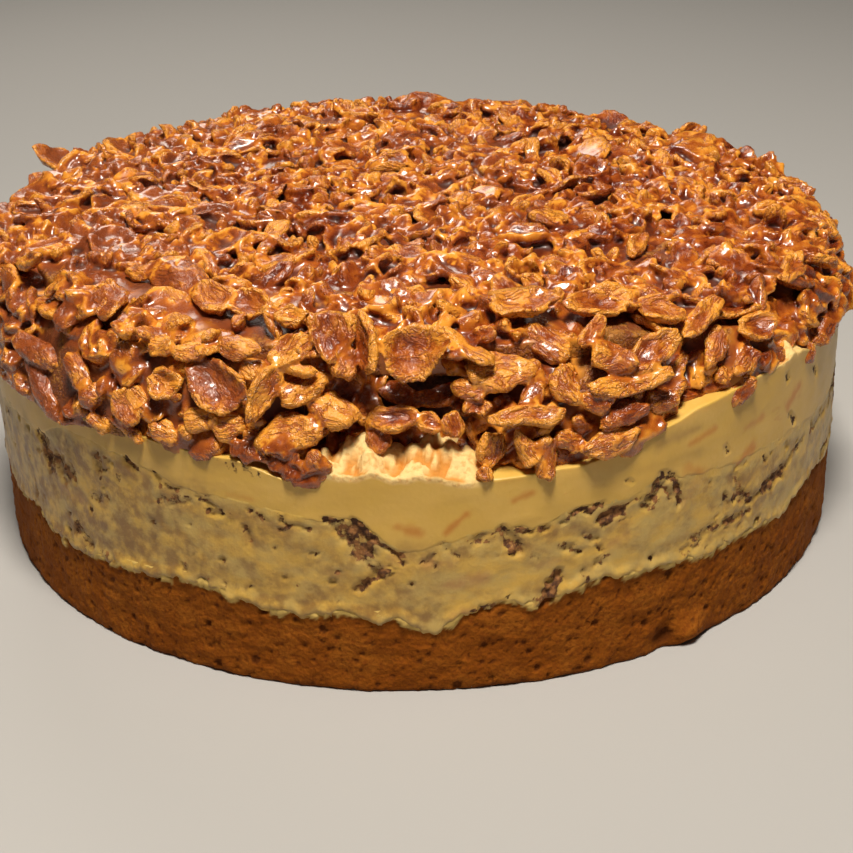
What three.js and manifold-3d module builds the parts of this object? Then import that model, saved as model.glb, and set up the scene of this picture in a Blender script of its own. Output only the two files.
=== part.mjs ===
// A whole round ice cream cake, in millimetres, +Z up, with the origin at the middle of its flat underside.
// From the bottom up it is a sponge base, a layer of ice cream full of crumbs and flakes, a layer of smooth
// ice cream, and a thick heap of chocolate-coated corn flakes. The layers meet along uneven lines, as spread
// by hand in a ring tin. At the front a piece of the topping has broken away, and torn ice cream shows there.
// Angles are in degrees round the axis: 0 is +X, and -90 is the front, which faces -Y.

import * as THREE from "three";
import { mergeVertices } from "three/addons/utils/BufferGeometryUtils.js";
import Module from "manifold-3d";

const wasm = await Module();
wasm.setup();

// Driving dimensions of the layers
const CAKE_RADIUS = 115;
const SPONGE_TOP = 25;
const CHUNKY_TOP = 43.5;
const CREAM_TOP = 58;
const LAYER_GAP = 0.3;
const INNER_RADIUS = 94;
const LEDGE_RADIUS = 108;
const LEDGE_RISE = 3;
const BASE_ROUNDING = 0.3;
const LAYER_SECTORS = 64;

// Driving dimensions of the topping
const CROWN_TOP = 86.4;
const CROWN_RADIUS = 118;
const CROWN_DROP = 7.6;
const CROWN_POWER = 5.6;
const CROWN_SLOPE = 0.019;
const CORE_RADIUS = 114;
const CORE_BELOW_CROWN = 3.5;
const CORE_SECTORS = 40;
const TOP_FLAKES = 154;
const TOP_REACH = 104;
const FLAKE_SINK = 3.3;
const FLAKE_THICKNESS = 2.8;
const FLAKE_SIDES = 7;
const GOLDEN_ANGLE = 137.508;
const SEED = 20;

// The break at the front: its middle, half its width, and how far in from the rim it reaches
const BREAK_ANGLE = -93;
const BREAK_HALF_WIDTH = 15;
const BREAK_DEPTH = 11;

// Rows of flakes on the side of the topping, each at its share of the way up from the hem to the shoulder
const RIM_ROWS = [
  { count: 29, radius: 108, share: 0.9, tilt: 32, turn: 0 },
  { count: 31, radius: 114, share: 0.6, tilt: 64, turn: 5 },
  { count: 31, radius: 114.2, share: 0.26, tilt: 84, turn: 1 },
];

// Flakes that stand out by themselves. at is the angle, radius and height of the middle. size is the length and
// width. bend is the cup and the turned-up edge. turn is the tilt from level, the lean of that tilt away from
// straight outward, and the spin.
const HERO_FLAKES = [
  // Round the break: a cupped flake over it, two ribbed ones upright beside it and a lump below them
  { at: [-90.5, 103.5, 80], size: [15.5, 13], bend: [3.2, 1], turn: [58, 6, 12] },
  { at: [-96.3, 104, 79.5], size: [15, 8.5], bend: [1.2, 0.6], turn: [72, -60, 84] },
  { at: [-99.8, 102.5, 80], size: [14.5, 9], bend: [1.6, 0.8], turn: [66, 54, 78] },
  { at: [-97.6, 105, 74.6], size: [9.5, 7.5], bend: [0.4, 0], turn: [56, 0, 0] },
  // Right of the break on top: a disc with a raised rim and a broad folded flake
  { at: [-73.6, 88, 82], size: [16.5, 15], bend: [2.6, 0.5], turn: [20, 8, 20] },
  { at: [-64, 94.6, 80.4], size: [19, 14], bend: [1.8, 2.4], turn: [22, 12, -20] },
  // Lying low in the break
  { at: [-101.5, 107.5, 65.5], size: [18, 10.5], bend: [0.6, 1.2], turn: [30, 16, 8] },
  { at: [-98, 104.5, 70], size: [15, 12], bend: [0.6, 1.4], turn: [30, 30, 60] },
  { at: [-92.5, 105, 65.5], size: [14, 9.5], bend: [1, 2.2], turn: [30, -28, 20] },
  // Left of the break: an upright flake and a broad cupped one
  { at: [-106.5, 109, 75.4], size: [19, 11], bend: [2, 1.4], turn: [76, 50, 88] },
  { at: [-112.5, 107, 77.4], size: [18.5, 15.5], bend: [2.4, 1.4], turn: [40, 8, 50] },
  // Along the left and back-left rim
  { at: [157, 110.5, 81.6], size: [19, 13], bend: [2, 2], turn: [22, 180, 20] },
  { at: [168, 113, 77], size: [14, 11], bend: [1.2, 1], turn: [46, 10, 60] },
  { at: [-171, 100, 83], size: [20, 12], bend: [1.6, 1.8], turn: [18, -70, -66] },
  { at: [171, 86, 83.6], size: [25, 22], bend: [0.4, 0.4], turn: [9, -60, 10] },
  // A small coil above the break
  { at: [-105, 84, 83], size: [11, 9], bend: [2.4, 2], turn: [18, 0, 30] },
  // Hanging on the right flank of the break, over the ice cream
  { at: [-71.5, 112.6, 64.4], size: [16, 9.5], bend: [1.8, 1.4], turn: [40, 12, -82] },
  { at: [-77, 111, 70.8], size: [14.5, 8], bend: [0.8, 1], turn: [40, 0, 80] },
  { at: [-82.4, 109, 62.4], size: [11, 6], bend: [0.2, 0.2], turn: [80, 24, 88] },
  { at: [-78, 110.2, 66], size: [14, 10], bend: [0.6, 1], turn: [56, 0, 30] },
  { at: [-79.2, 112.4, 62.6], size: [12.5, 5.5], bend: [-0.6, 0.6], turn: [80, -20, 78] },
  { at: [-75.8, 113.2, 62], size: [12.5, 5.5], bend: [-0.6, 0.4], turn: [82, 14, 84] },
  // Spread over the rest of the top
  { at: [-33, 105, 78], size: [19, 10], bend: [1, 2.4], turn: [28, 60, 54] },
  { at: [-40, 45, 83.8], size: [15, 11], bend: [1.8, 2], turn: [26, 30, 10] },
  { at: [28, 92, 82.2], size: [23, 18], bend: [-0.6, 0.4], turn: [8, 180, 30] },
  { at: [86, 97, 83], size: [18, 13], bend: [-0.4, 0.6], turn: [18, 180, 70] },
];

// Holes and dents in the side of the crumb layer: where, how wide and tall, and how deep
const CRUMB_PITS = [
  { angle: -97, height: 38, wide: 5, tall: 4, depth: 3.2 },
  { angle: -93.5, height: 33.5, wide: 4, tall: 3.5, depth: 2.6 },
  { angle: -96, height: 24, wide: 4, tall: 2.6, depth: 2.4 },
  { angle: -78, height: 34, wide: 5, tall: 4, depth: 2.2 },
  { angle: -70.5, height: 38, wide: 4.5, tall: 4.5, depth: 2.6 },
  { angle: -58, height: 41, wide: 4, tall: 3, depth: 2 },
  { angle: -43, height: 36, wide: 7, tall: 3, depth: 2 },
  { angle: -141, height: 42, wide: 6, tall: 4, depth: 2.2 },
  { angle: 30, height: 35, wide: 6, tall: 4, depth: 2.2 },
  { angle: 95, height: 37, wide: 5, tall: 4, depth: 2.4 },
  { angle: 150, height: 34, wide: 6, tall: 4, depth: 2 },
];

// A crumb of sponge pressed out at the foot, beside a small broken dent
const FOOT_CRUMB = { angle: -57, dentAngle: -61, height: 3.4, wide: 3, out: 2.6, dent: 2.2 };

const CHOCOLATE_BROWN = 0x8f4a24;
const SPONGE_BROWN = 0x9c6226;
const CRUMB_CREAM = 0xd2ba84;
const SMOOTH_CREAM = 0xe0c682;

const cosine = (degrees) => Math.cos(THREE.MathUtils.degToRad(degrees));
const sine = (degrees) => Math.sin(THREE.MathUtils.degToRad(degrees));

// The signed angle from b to a, in degrees
function apart(a, b) {
  return THREE.MathUtils.euclideanModulo(a - b + 180, 360) - 180;
}

// A smooth bump, 1 at the centre angle and fading over the width
function swell(angle, centre, width) {
  return Math.exp(-((apart(angle, centre) / width) ** 2));
}

// A small unevenness that closes on itself round the cake
function ragged(angle, amount, turn) {
  const slow = sine(7 * angle + turn);
  const quick = sine(13 * angle + 2.7 * turn);
  const quickest = sine(22 * angle + 1.3 * turn);
  return amount * (0.5 * slow + 0.4 * quick + 0.35 * quickest);
}

// Heights of the lines along which the layers meet at the side
function spongeTopAt(angle) {
  return SPONGE_TOP + cosine(angle + 20) - 8 * swell(angle, -92, 38) + ragged(angle, 1.3, 40);
}

function chunkyTopAt(angle) {
  const frontDip = 8.5 * swell(angle, -90, 9);
  const leftRise = 4 * swell(angle, -135, 22);
  const rightDip = 3 * swell(angle, -45, 12);
  return CHUNKY_TOP - frontDip + leftRise - rightDip + ragged(angle, 1.1, 100);
}

function creamTopAt(angle) {
  return CREAM_TOP + 4 * cosine(angle + 30) - 4 * swell(angle, -88, 16) + ragged(angle, 0.7, 200);
}

// The top of the smooth layer a little in from its rim, where it is torn upward in the break
function ledgeTopAt(angle) {
  return 0.5 * (creamTopAt(angle) + CREAM_TOP) + LEDGE_RISE * swell(angle, BREAK_ANGLE, 9);
}

// How far the side stands out from the tin's radius where two layers meet, and at the very foot and rim
function seamSide(angle, height) {
  const foot = BASE_ROUNDING * Math.max(0, 1 - height / 3) ** 2;
  return ragged(angle, 0.3, 300) - foot;
}

// How far the side of each layer stands out between its seams
function spongeSide(angle, height) {
  const foot = BASE_ROUNDING * Math.max(0, 1 - height / 3) ** 2;
  const near = Math.exp(-(((height - FOOT_CRUMB.height) / 3) ** 2));
  const crumb = FOOT_CRUMB.out * swell(angle, FOOT_CRUMB.angle, FOOT_CRUMB.wide) * near;
  const dent = FOOT_CRUMB.dent * swell(angle, FOOT_CRUMB.dentAngle, FOOT_CRUMB.wide) * near;
  return crumb - dent - foot + ragged(angle, 0.35, 10 * height);
}

function chunkySide(angle, height) {
  let depth = 0;
  for (const pit of CRUMB_PITS) {
    const near = Math.exp(-(((height - pit.height) / pit.tall) ** 2));
    depth += pit.depth * swell(angle, pit.angle, pit.wide) * near;
  }
  return ragged(angle, 0.7, 25 * height) - depth;
}

function creamSide(angle, height) {
  return ragged(angle, 0.35, 6 * height) + 0.3;
}

// The top of the heap as a smooth dome, without its flakes
function crownAt(x, y) {
  const share = Math.hypot(x, y) / CROWN_RADIUS;
  return CROWN_TOP - CROWN_DROP * share ** CROWN_POWER - CROWN_SLOPE * x;
}

// Numbers from 0 to 1, the same each time for one seed
function seededRandom(seed) {
  let state = seed;
  return () => {
    state = (state + 0x6d2b79f5) | 0;
    let t = Math.imul(state ^ (state >>> 15), 1 | state);
    t = (t + Math.imul(t ^ (t >>> 7), 61 | t)) ^ t;
    return ((t ^ (t >>> 14)) >>> 0) / 4294967296;
  };
}

// A three.js geometry as a solid for joining and cutting
function toSolid(geometry) {
  const bare = geometry.clone();
  bare.deleteAttribute("normal");
  bare.deleteAttribute("uv");
  const merged = mergeVertices(bare, 1e-4);
  const index = merged.index.array;
  const kept = [];
  for (let i = 0; i < index.length; i += 3) {
    const [a, b, c] = [index[i], index[i + 1], index[i + 2]];
    if (a !== b && b !== c && c !== a) kept.push(a, b, c);
  }
  return new wasm.Manifold(
    new wasm.Mesh({
      numProp: 3,
      vertProperties: new Float32Array(merged.attributes.position.array),
      triVerts: new Uint32Array(kept),
    }),
  );
}

// A solid back as a three.js geometry
function toGeometry(solid) {
  const mesh = solid.getMesh();
  const positions = new Float32Array(mesh.numVert * 3);
  for (let i = 0; i < mesh.numVert; i++) {
    positions.set(mesh.vertProperties.subarray(i * mesh.numProp, i * mesh.numProp + 3), i * 3);
  }
  const geometry = new THREE.BufferGeometry();
  geometry.setAttribute("position", new THREE.BufferAttribute(positions, 3));
  geometry.setIndex(new THREE.BufferAttribute(new Uint32Array(mesh.triVerts), 1));
  geometry.computeVertexNormals();
  return geometry;
}

// A lathe whose rows are moved one by one: place(row, angle) gives a row's radius and height at an angle.
// A mirrored one goes round the other way, so its faces are split along the opposite corners.
function shapedLathe(rows, sectors, place, mirrored = false) {
  const nominal = [];
  for (let row = 0; row < rows; row++) {
    const onAxis = row === 0 || row === rows - 1;
    nominal.push(new THREE.Vector2(onAxis ? 0 : 1, row));
  }
  const geometry = new THREE.LatheGeometry(nominal, sectors);
  const position = geometry.getAttribute("position");
  for (let i = 0; i < position.count; i++) {
    const row = i % rows;
    const sector = Math.floor(i / rows) % sectors;
    const angle = ((mirrored ? -360 : 360) * sector) / sectors;
    const { radius, height } = place(row, angle);
    position.setXYZ(i, radius * cosine(angle), radius * sine(angle), height);
  }
  if (mirrored) geometry.index.array.reverse();
  return geometry;
}

// One layer of the cake, from the underside at bottomAt to the top at topAt, with sideRows steps up its side.
// Layers that meet share the outline of their seam, and the middle one is mirrored so that their faces match.
function layerGeometry(layer) {
  const { bottomAt, topAt, bottomMean, topMean, side, sideRows, ledgeAt, mirrored, outward = 0 } = layer;
  const rows = sideRows + (ledgeAt ? 6 : 5);
  const place = (row, angle) => {
    if (row === 0) return { radius: 0, height: bottomMean };
    if (row === 1) return { radius: INNER_RADIUS, height: bottomMean };
    if (row === rows - 1) return { radius: 0, height: topMean };
    if (row === rows - 2) return { radius: INNER_RADIUS, height: topMean };
    const share = (row - 2) / sideRows;
    const height = THREE.MathUtils.lerp(bottomAt(angle), topAt(angle), share);
    if (row > sideRows + 2) return { radius: LEDGE_RADIUS, height: ledgeAt(angle) };
    const atSeam = row === 2 || row === sideRows + 2;
    const out = atSeam ? seamSide(angle, height) : side(angle, height);
    return { radius: CAKE_RADIUS + out + outward, height };
  };
  return shapedLathe(rows, LAYER_SECTORS, place, mirrored);
}

function spongeGeometry() {
  return layerGeometry({
    bottomAt: () => 0,
    topAt: spongeTopAt,
    bottomMean: 0,
    topMean: SPONGE_TOP,
    side: spongeSide,
    sideRows: 4,
  });
}

function chunkyCreamGeometry() {
  return layerGeometry({
    bottomAt: (angle) => spongeTopAt(angle) + LAYER_GAP,
    topAt: chunkyTopAt,
    bottomMean: SPONGE_TOP + LAYER_GAP,
    topMean: CHUNKY_TOP,
    side: chunkySide,
    sideRows: 4,
    mirrored: true,
  });
}

// The smooth layer, or with a clearance the space that the topping has to leave for it
function smoothCreamGeometry(clearance = 0) {
  return layerGeometry({
    bottomAt: (angle) => chunkyTopAt(angle) + LAYER_GAP - clearance,
    topAt: (angle) => creamTopAt(angle) + clearance,
    bottomMean: CHUNKY_TOP + LAYER_GAP - clearance,
    topMean: CREAM_TOP + clearance,
    side: creamSide,
    sideRows: 3,
    ledgeAt: (angle) => ledgeTopAt(angle) + clearance,
    outward: clearance,
  });
}

// The heap's core, which the flakes are stuck to, with a bay where the topping has broken away
function coreSolid() {
  const topRings = [99, 80, 54, 27];
  const rows = topRings.length + 5;
  const geometry = shapedLathe(rows, CORE_SECTORS, (row, angle) => {
    const bay = BREAK_DEPTH * swell(angle, BREAK_ANGLE, BREAK_HALF_WIDTH);
    const hem = creamTopAt(angle);
    if (row === 0) return { radius: 0, height: CREAM_TOP - 1 };
    if (row === 1) return { radius: CORE_RADIUS - 0.6 - bay, height: hem - 3 };
    if (row === 2) return { radius: CORE_RADIUS - bay, height: hem + 9 };
    if (row === rows - 1) return { radius: 0, height: crownAt(0, 0) - CORE_BELOW_CROWN };
    const ring = row === 3 ? CORE_RADIUS - 1.5 - 0.7 * bay : topRings[row - 4];
    const bump = 0.7 * sine(5 * angle + 47 * row) + 0.5 * sine(11 * angle + 29 * row);
    const edge = row === 3 ? 2.5 : 0;
    const dome = crownAt(ring * cosine(angle), ring * sine(angle));
    const height = dome - CORE_BELOW_CROWN - edge + bump;
    return { radius: ring, height };
  });
  return toSolid(geometry);
}

// One coated corn flake about its own middle: a cupped plate with an uneven outline and one edge turned up
function flakeGeometry({ length, width, cup, fold, phase }) {
  const profile = [new THREE.Vector2(0, -0.5), new THREE.Vector2(1, 0), new THREE.Vector2(0, 0.5)];
  const geometry = new THREE.LatheGeometry(profile, FLAKE_SIDES).rotateX(Math.PI / 2);
  const position = geometry.getAttribute("position");
  for (let i = 0; i < position.count; i++) {
    const reach = Math.hypot(position.getX(i), position.getY(i));
    const around = Math.atan2(position.getY(i), position.getX(i));
    const outline = 1 + 0.08 * Math.sin(2 * around + phase) + 0.08 * Math.sin(3 * around + 2.3 * phase);
    const across = (reach * outline * Math.cos(around) * length) / 2;
    const along = (reach * outline * Math.sin(around) * width) / 2;
    const bowl = cup * reach ** 2 * (0.65 + 0.35 * Math.cos(2 * around + 1.7 * phase));
    const turned = fold * Math.max(0, reach * Math.cos(around)) ** 3;
    position.setXYZ(i, across, along, position.getZ(i) * FLAKE_THICKNESS + bowl + turned - 0.4 * cup);
  }
  return geometry;
}

// A flake in its place: leaned by its tilt away from level, towards its lean direction, after its own spin
function placedFlake(flake) {
  const leanAngle = THREE.MathUtils.degToRad(flake.angle + flake.lean);
  const hinge = new THREE.Vector3(-Math.sin(leanAngle), Math.cos(leanAngle), 0);
  const turn = new THREE.Quaternion().setFromAxisAngle(hinge, THREE.MathUtils.degToRad(flake.tilt));
  const spin = new THREE.Quaternion().setFromAxisAngle(
    new THREE.Vector3(0, 0, 1),
    THREE.MathUtils.degToRad(flake.angle + flake.spin),
  );
  const { radius, angle, height } = flake;
  const place = new THREE.Vector3(radius * cosine(angle), radius * sine(angle), height);
  const matrix = new THREE.Matrix4().compose(place, turn.multiply(spin), new THREE.Vector3(1, 1, 1));
  return toSolid(flakeGeometry(flake).applyMatrix4(matrix));
}

// The size and shape of one flake by chance
function chanceFlake(random) {
  const length = 11.5 + 8.5 * random() ** 1.2;
  const width = length * (0.6 + 0.3 * random());
  const cup = 3.4 * random() - 0.9;
  const fold = 2.4 * random() ** 2;
  const phase = 2 * Math.PI * random();
  const spin = 360 * random();
  return { length, width, cup, fold, phase, spin };
}

// The flakes that stand out, with their values by name
function namedFlakes() {
  return HERO_FLAKES.map(({ at, size, bend, turn }, i) => {
    const [angle, radius, height] = at;
    const [length, width] = size;
    const [cup, fold] = bend;
    const [tilt, lean, spin] = turn;
    return { angle, radius, height, length, width, cup, fold, tilt, lean, spin, phase: 1.9 * i };
  });
}

// How far a place is from the nearest of the flakes that stand out, as a share of that flake's size
function heroShare(flake, heroes) {
  let nearest = Infinity;
  for (const hero of heroes) {
    const dx = hero.radius * cosine(hero.angle) - flake.radius * cosine(flake.angle);
    const dy = hero.radius * sine(hero.angle) - flake.radius * sine(flake.angle);
    const distance = Math.hypot(dx, dy, hero.height - flake.height);
    nearest = Math.min(nearest, distance / (hero.length / 2));
  }
  return nearest;
}

// Whether a place is in the bay at the front
function inBreak(flake) {
  const across = Math.abs(apart(flake.angle, BREAK_ANGLE)) / BREAK_HALF_WIDTH;
  return across < 0.9 && flake.radius > CORE_RADIUS - BREAK_DEPTH * (1 - 0.3 * across);
}

// All flakes of the heap: the named ones, then a sunflower spread over the top, then rows down the side
function layOutFlakes() {
  const random = seededRandom(SEED);
  const heroes = namedFlakes();
  const scattered = [];
  for (let i = 0; i < TOP_FLAKES; i++) {
    const shape = chanceFlake(random);
    const radius = TOP_REACH * Math.sqrt((i + 0.5) / TOP_FLAKES) + 4 * (random() - 0.5);
    const angle = i * GOLDEN_ANGLE + 4 * (random() - 0.5);
    const tilt = 4 + 30 * random() ** 1.5;
    const lean = 360 * random();
    const tip = ((shape.length + shape.width) / 4) * sine(tilt) + Math.abs(shape.cup) / 2 - 0.5;
    const sink = Math.max(FLAKE_SINK, tip) + 2.2 * (random() - 0.5);
    const height = crownAt(radius * cosine(angle), radius * sine(angle)) - sink;
    scattered.push({ ...shape, radius, angle, tilt, lean, height });
  }
  for (const row of RIM_ROWS) {
    for (let i = 0; i < row.count; i++) {
      const shape = chanceFlake(random);
      const angle = (360 * (i + 0.6 * random())) / row.count + row.turn;
      const radius = row.radius + 2 * (random() - 0.5);
      const tilt = row.tilt + 26 * (random() - 0.5);
      const lean = 50 * (random() - 0.5);
      const crown = crownAt(CORE_RADIUS * cosine(angle), CORE_RADIUS * sine(angle));
      const height = THREE.MathUtils.lerp(creamTopAt(angle), crown, row.share) + 3 * (random() - 0.5);
      scattered.push({ ...shape, radius, angle, tilt, lean, height });
    }
  }
  const spread = scattered.filter((flake) => heroShare(flake, heroes) > 0.8 && !inBreak(flake));
  return [...heroes, ...spread];
}

// The heap: core and flakes joined, cut clear of the ice cream, and rid of loose scraps
function toppingGeometry() {
  const heap = layOutFlakes().reduce((joined, flake) => joined.add(placedFlake(flake)), coreSolid());
  const clear = heap.subtract(toSolid(smoothCreamGeometry(LAYER_GAP)));
  const pieces = clear.decompose().sort((a, b) => b.volume() - a.volume());
  return toGeometry(pieces[0]);
}

function namedMesh(name, geometry, colour, roughness) {
  const material = new THREE.MeshStandardMaterial({ color: colour, roughness, metalness: 0 });
  const mesh = new THREE.Mesh(geometry, material);
  mesh.name = name;
  return mesh;
}

const cake = new THREE.Group();
cake.name = "ice_cream_cake";
cake.add(
  namedMesh("sponge_base", spongeGeometry(), SPONGE_BROWN, 0.9),
  namedMesh("chunky_cream", chunkyCreamGeometry(), CRUMB_CREAM, 0.6),
  namedMesh("smooth_cream", smoothCreamGeometry(), SMOOTH_CREAM, 0.45),
  namedMesh("flake_topping", toppingGeometry(), CHOCOLATE_BROWN, 0.35),
);

export default cake;
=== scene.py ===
"""A round ice cream cake: sponge base, crumb-filled and smooth ice cream, and a heap of chocolate corn flakes.

Shapes are worked out in millimetres round the cake's axis, with angles in degrees and -90 at the front, and
meshes are made in metres. Corn flakes lie where the model's own solid flakes lie, with smaller ones between them.
"""

import math

import bpy
import numpy as np
from mathutils import Matrix, Vector
from mathutils.kdtree import KDTree


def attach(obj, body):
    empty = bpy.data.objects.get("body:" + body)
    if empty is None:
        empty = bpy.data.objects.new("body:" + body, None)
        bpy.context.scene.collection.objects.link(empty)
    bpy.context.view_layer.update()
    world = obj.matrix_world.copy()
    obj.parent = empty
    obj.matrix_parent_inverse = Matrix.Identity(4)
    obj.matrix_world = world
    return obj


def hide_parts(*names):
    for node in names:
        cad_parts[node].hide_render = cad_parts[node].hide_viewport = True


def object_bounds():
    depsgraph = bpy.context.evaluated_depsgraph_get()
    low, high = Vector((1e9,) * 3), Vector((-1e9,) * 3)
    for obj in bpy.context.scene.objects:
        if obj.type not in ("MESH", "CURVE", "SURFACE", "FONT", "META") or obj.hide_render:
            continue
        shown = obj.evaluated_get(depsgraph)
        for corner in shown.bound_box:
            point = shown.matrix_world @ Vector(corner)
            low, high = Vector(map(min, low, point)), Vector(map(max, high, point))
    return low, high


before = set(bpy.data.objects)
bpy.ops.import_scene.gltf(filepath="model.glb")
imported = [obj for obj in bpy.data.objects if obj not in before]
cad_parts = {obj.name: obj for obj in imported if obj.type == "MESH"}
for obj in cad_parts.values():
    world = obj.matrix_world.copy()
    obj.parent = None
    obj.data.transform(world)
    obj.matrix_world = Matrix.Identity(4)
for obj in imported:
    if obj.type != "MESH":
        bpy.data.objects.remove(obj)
CAD_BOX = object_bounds()

bl_info = {
    "name": "Ice Cream Cake",
    "version": (1, 0, 0),
    "blender": (4, 5, 0),
    "location": "View3D > Sidebar > Cake",
    "description": "Builds a round ice cream cake with a corn flake topping",
    "category": "Add Mesh",
}

MM = 0.001
BODY = "root"

# The angle of the front, and how far inside the model's box everything stays
FRONT = -90
BOX_MARGIN = 0.05

# The broken place at the front, and the ledge of bare ice cream to the right of it
BREAK_ANGLE = -93
BREAK_HALF_WIDTH = 15
BREAK_DEPTH = 11
LEDGE_ANGLE = -39.5
LEDGE_INNER_RADIUS = 99

# Where one layer goes in behind the next, in millimetres
SEAM_OVERLAP = 1.4
SEAM_DEPTH = 18
SEAM_GAP = 0.3

# The heap's dome, and the rule for the flakes on it that the solid heap has too
CROWN_RADIUS = 118
CROWN_DROP = 7.6
CROWN_POWER = 5.6
CROWN_SLOPE = 0.019
HEAP_RADIUS = 114
TOP_FLAKES = 154
TOP_REACH = 104
FLAKE_SINK = 3.3
GOLDEN_ANGLE = 137.508
LAYOUT_SEED = 20
# The rows of flakes down the side: how many, radius, share of the side's height, tilt, turn
RIM_ROWS = [(29, 108, 0.9, 32, 0), (31, 114, 0.6, 64, 5), (31, 114.2, 0.26, 84, 1)]

# The heap's side above its hem, where the middle piece meets the next, and the pooled chocolate's ring and points
HEM_HEIGHT = 58
SIDE_HEIGHT = 22
MIDDLE_REACH = 76
SIDE_CORE_INNER = 88
CORE_STEP = 2.5

# The shortest and longest of the flakes thrown on the top, of those pressed into the side and of the bits between
THROWN_SIZES = (7, 14)
PRESSED_SIZES = (7, 13)
BIT_SIZES = (3.5, 6.5)

# The rings of one flake's mesh, from the middle of its upper face to the middle of its lower face
FLAKE_REACHES = (0, 0.5, 0.82, 1, 0.7, 0)
FLAKE_SIDES = (1, 1, 1, 0, -1, -1)
FLAKE_SECTORS = 20

# What a flake's row says, fold being its turned-up edge, and then the flakes that stand out
FLAKE_VALUES = ("angle", "radius", "height", "length", "width", "cup", "fold", "roll", "tilt", "lean", "spin")
STANDING_FLAKES = [
    (157, 110.5, 81.6, 19, 13, 2, 2, 20, 22, 180, 20), (168, 113, 77, 14, 11, 1.2, 1, 30, 46, 10, 60),
    (-171, 100, 83, 20, 12, 1.6, 1.8, 30, 18, -70, -66), (171, 86, 83.6, 25, 22, 0.4, 0.4, 5, 9, -60, 10),
    (-105, 84, 83, 11, 9, 2.4, 2, 30, 18, 0, 30), (-33, 105, 78, 19, 10, 1, 2.4, 40, 28, 60, 54),
    (-40, 45, 83.8, 15, 11, 1.8, 2, 30, 26, 30, 10), (28, 92, 82.2, 23, 18, -0.6, 0.4, -8, 8, 180, 30),
    (86, 97, 83, 18, 13, -0.4, 0.6, -20, 18, 180, 70),
]

# The flakes at the broken place: place in the picture and radius from the axis, then as above, and last how thin
# the chocolate on it is
FRONT_FLAKES = [
    (413, 352, 104.5, 15, 13.5, 6, 1.6, 10, 60, 4, 90, 0.8), (368, 343, 103.5, 16, 10, 0.4, 0.4, 20, 76, -62, 0, 0.45),
    (334, 332, 102, 14, 10.5, 1.4, 1.6, 30, 58, 8, 10, 0.5), (342, 362, 105.5, 8.5, 8, -2, 0, -60, 50, 0, 0, 0.6),
    (300, 371, 107, 8, 3.4, 0.2, 0.2, 20, 30, 0, 86, 0.8), (289, 350, 105, 11, 8, 0.6, 0.8, -40, 40, -10, 130, 0.9),
    (262, 392, 111.5, 15, 7, 0.6, 0.4, 24, 82, 52, 10, 0.85),
    (329, 407, 107.5, 14, 10, -1.4, 0.6, -50, 40, 14, 60, 0.7),
    (287, 434, 111.5, 16, 9.5, -1.2, 0.8, -45, 48, -6, 110, 0.75),
    (301, 388, 107, 13, 8, -1, 0.6, -40, 36, 0, 120, 0.8), (394, 420, 106, 12.5, 8, 0.5, 1.4, 60, 34, -10, 80, 0.35),
    (378, 438, 107, 7.5, 6, -1, 0.6, 40, 60, 0, 30, 0.15), (430, 423, 107, 6.5, 4.6, 0.4, 0.6, 30, 50, 10, 60, 0.9),
    (452, 425, 108, 6.5, 5.5, 0.4, 0.8, 40, 60, 6, 10, 0.4), (438, 396, 101, 12, 6, 0.6, 0.8, 30, 30, 0, 100, 0.1),
    (400, 395, 99.5, 11, 6, 0.4, 0.6, 30, 34, 0, 70, 0.1), (470, 400, 102, 10, 6, 0.4, 0.6, -30, 40, 0, 110, 0.1),
    (471, 389, 106, 8.5, 6, -1, 0.4, -50, 44, 0, 80, 0.6), (477, 407, 108, 6.5, 3.6, 0.2, 0.4, -60, 40, 0, 95, 0.7),
    (498, 370, 105, 17, 10, 0.6, 1.6, -30, 36, 8, 84, 0.7),
    (531, 397, 109, 8.5, 5.5, -0.8, 0.4, -70, 52, 0, 130, 0.45), (527, 417, 112, 17, 6.5, 0.5, 1, 46, 36, 6, 92, 0.9),
    (491, 449, 110.5, 9, 7, 0.2, 0.4, 12, 80, 20, 4, 0.6), (485, 474, 114, 3.6, 3, -0.4, 0.2, -60, 60, 0, 0, 0.6),
    (526, 449, 113, 8.5, 4.4, -0.4, 1, -80, 80, -14, 10, 0.6),
    (546, 457, 113.6, 10.5, 5.4, -0.4, 1, -80, 80, 8, 8, 0.6), (522, 303, 93, 17, 13, 3.8, 2, 20, 24, 10, 80, 0.85),
    (598, 304, 95, 17, 11, 1.8, 1.6, 30, 26, 8, 84, 0.8), (548, 342, 101, 12, 9, -0.8, 1, -50, 34, 0, 40, 0.5),
    (292, 318, 97, 9, 6, 2.2, 1, 70, 30, 0, 100, 0.9),
]

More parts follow.
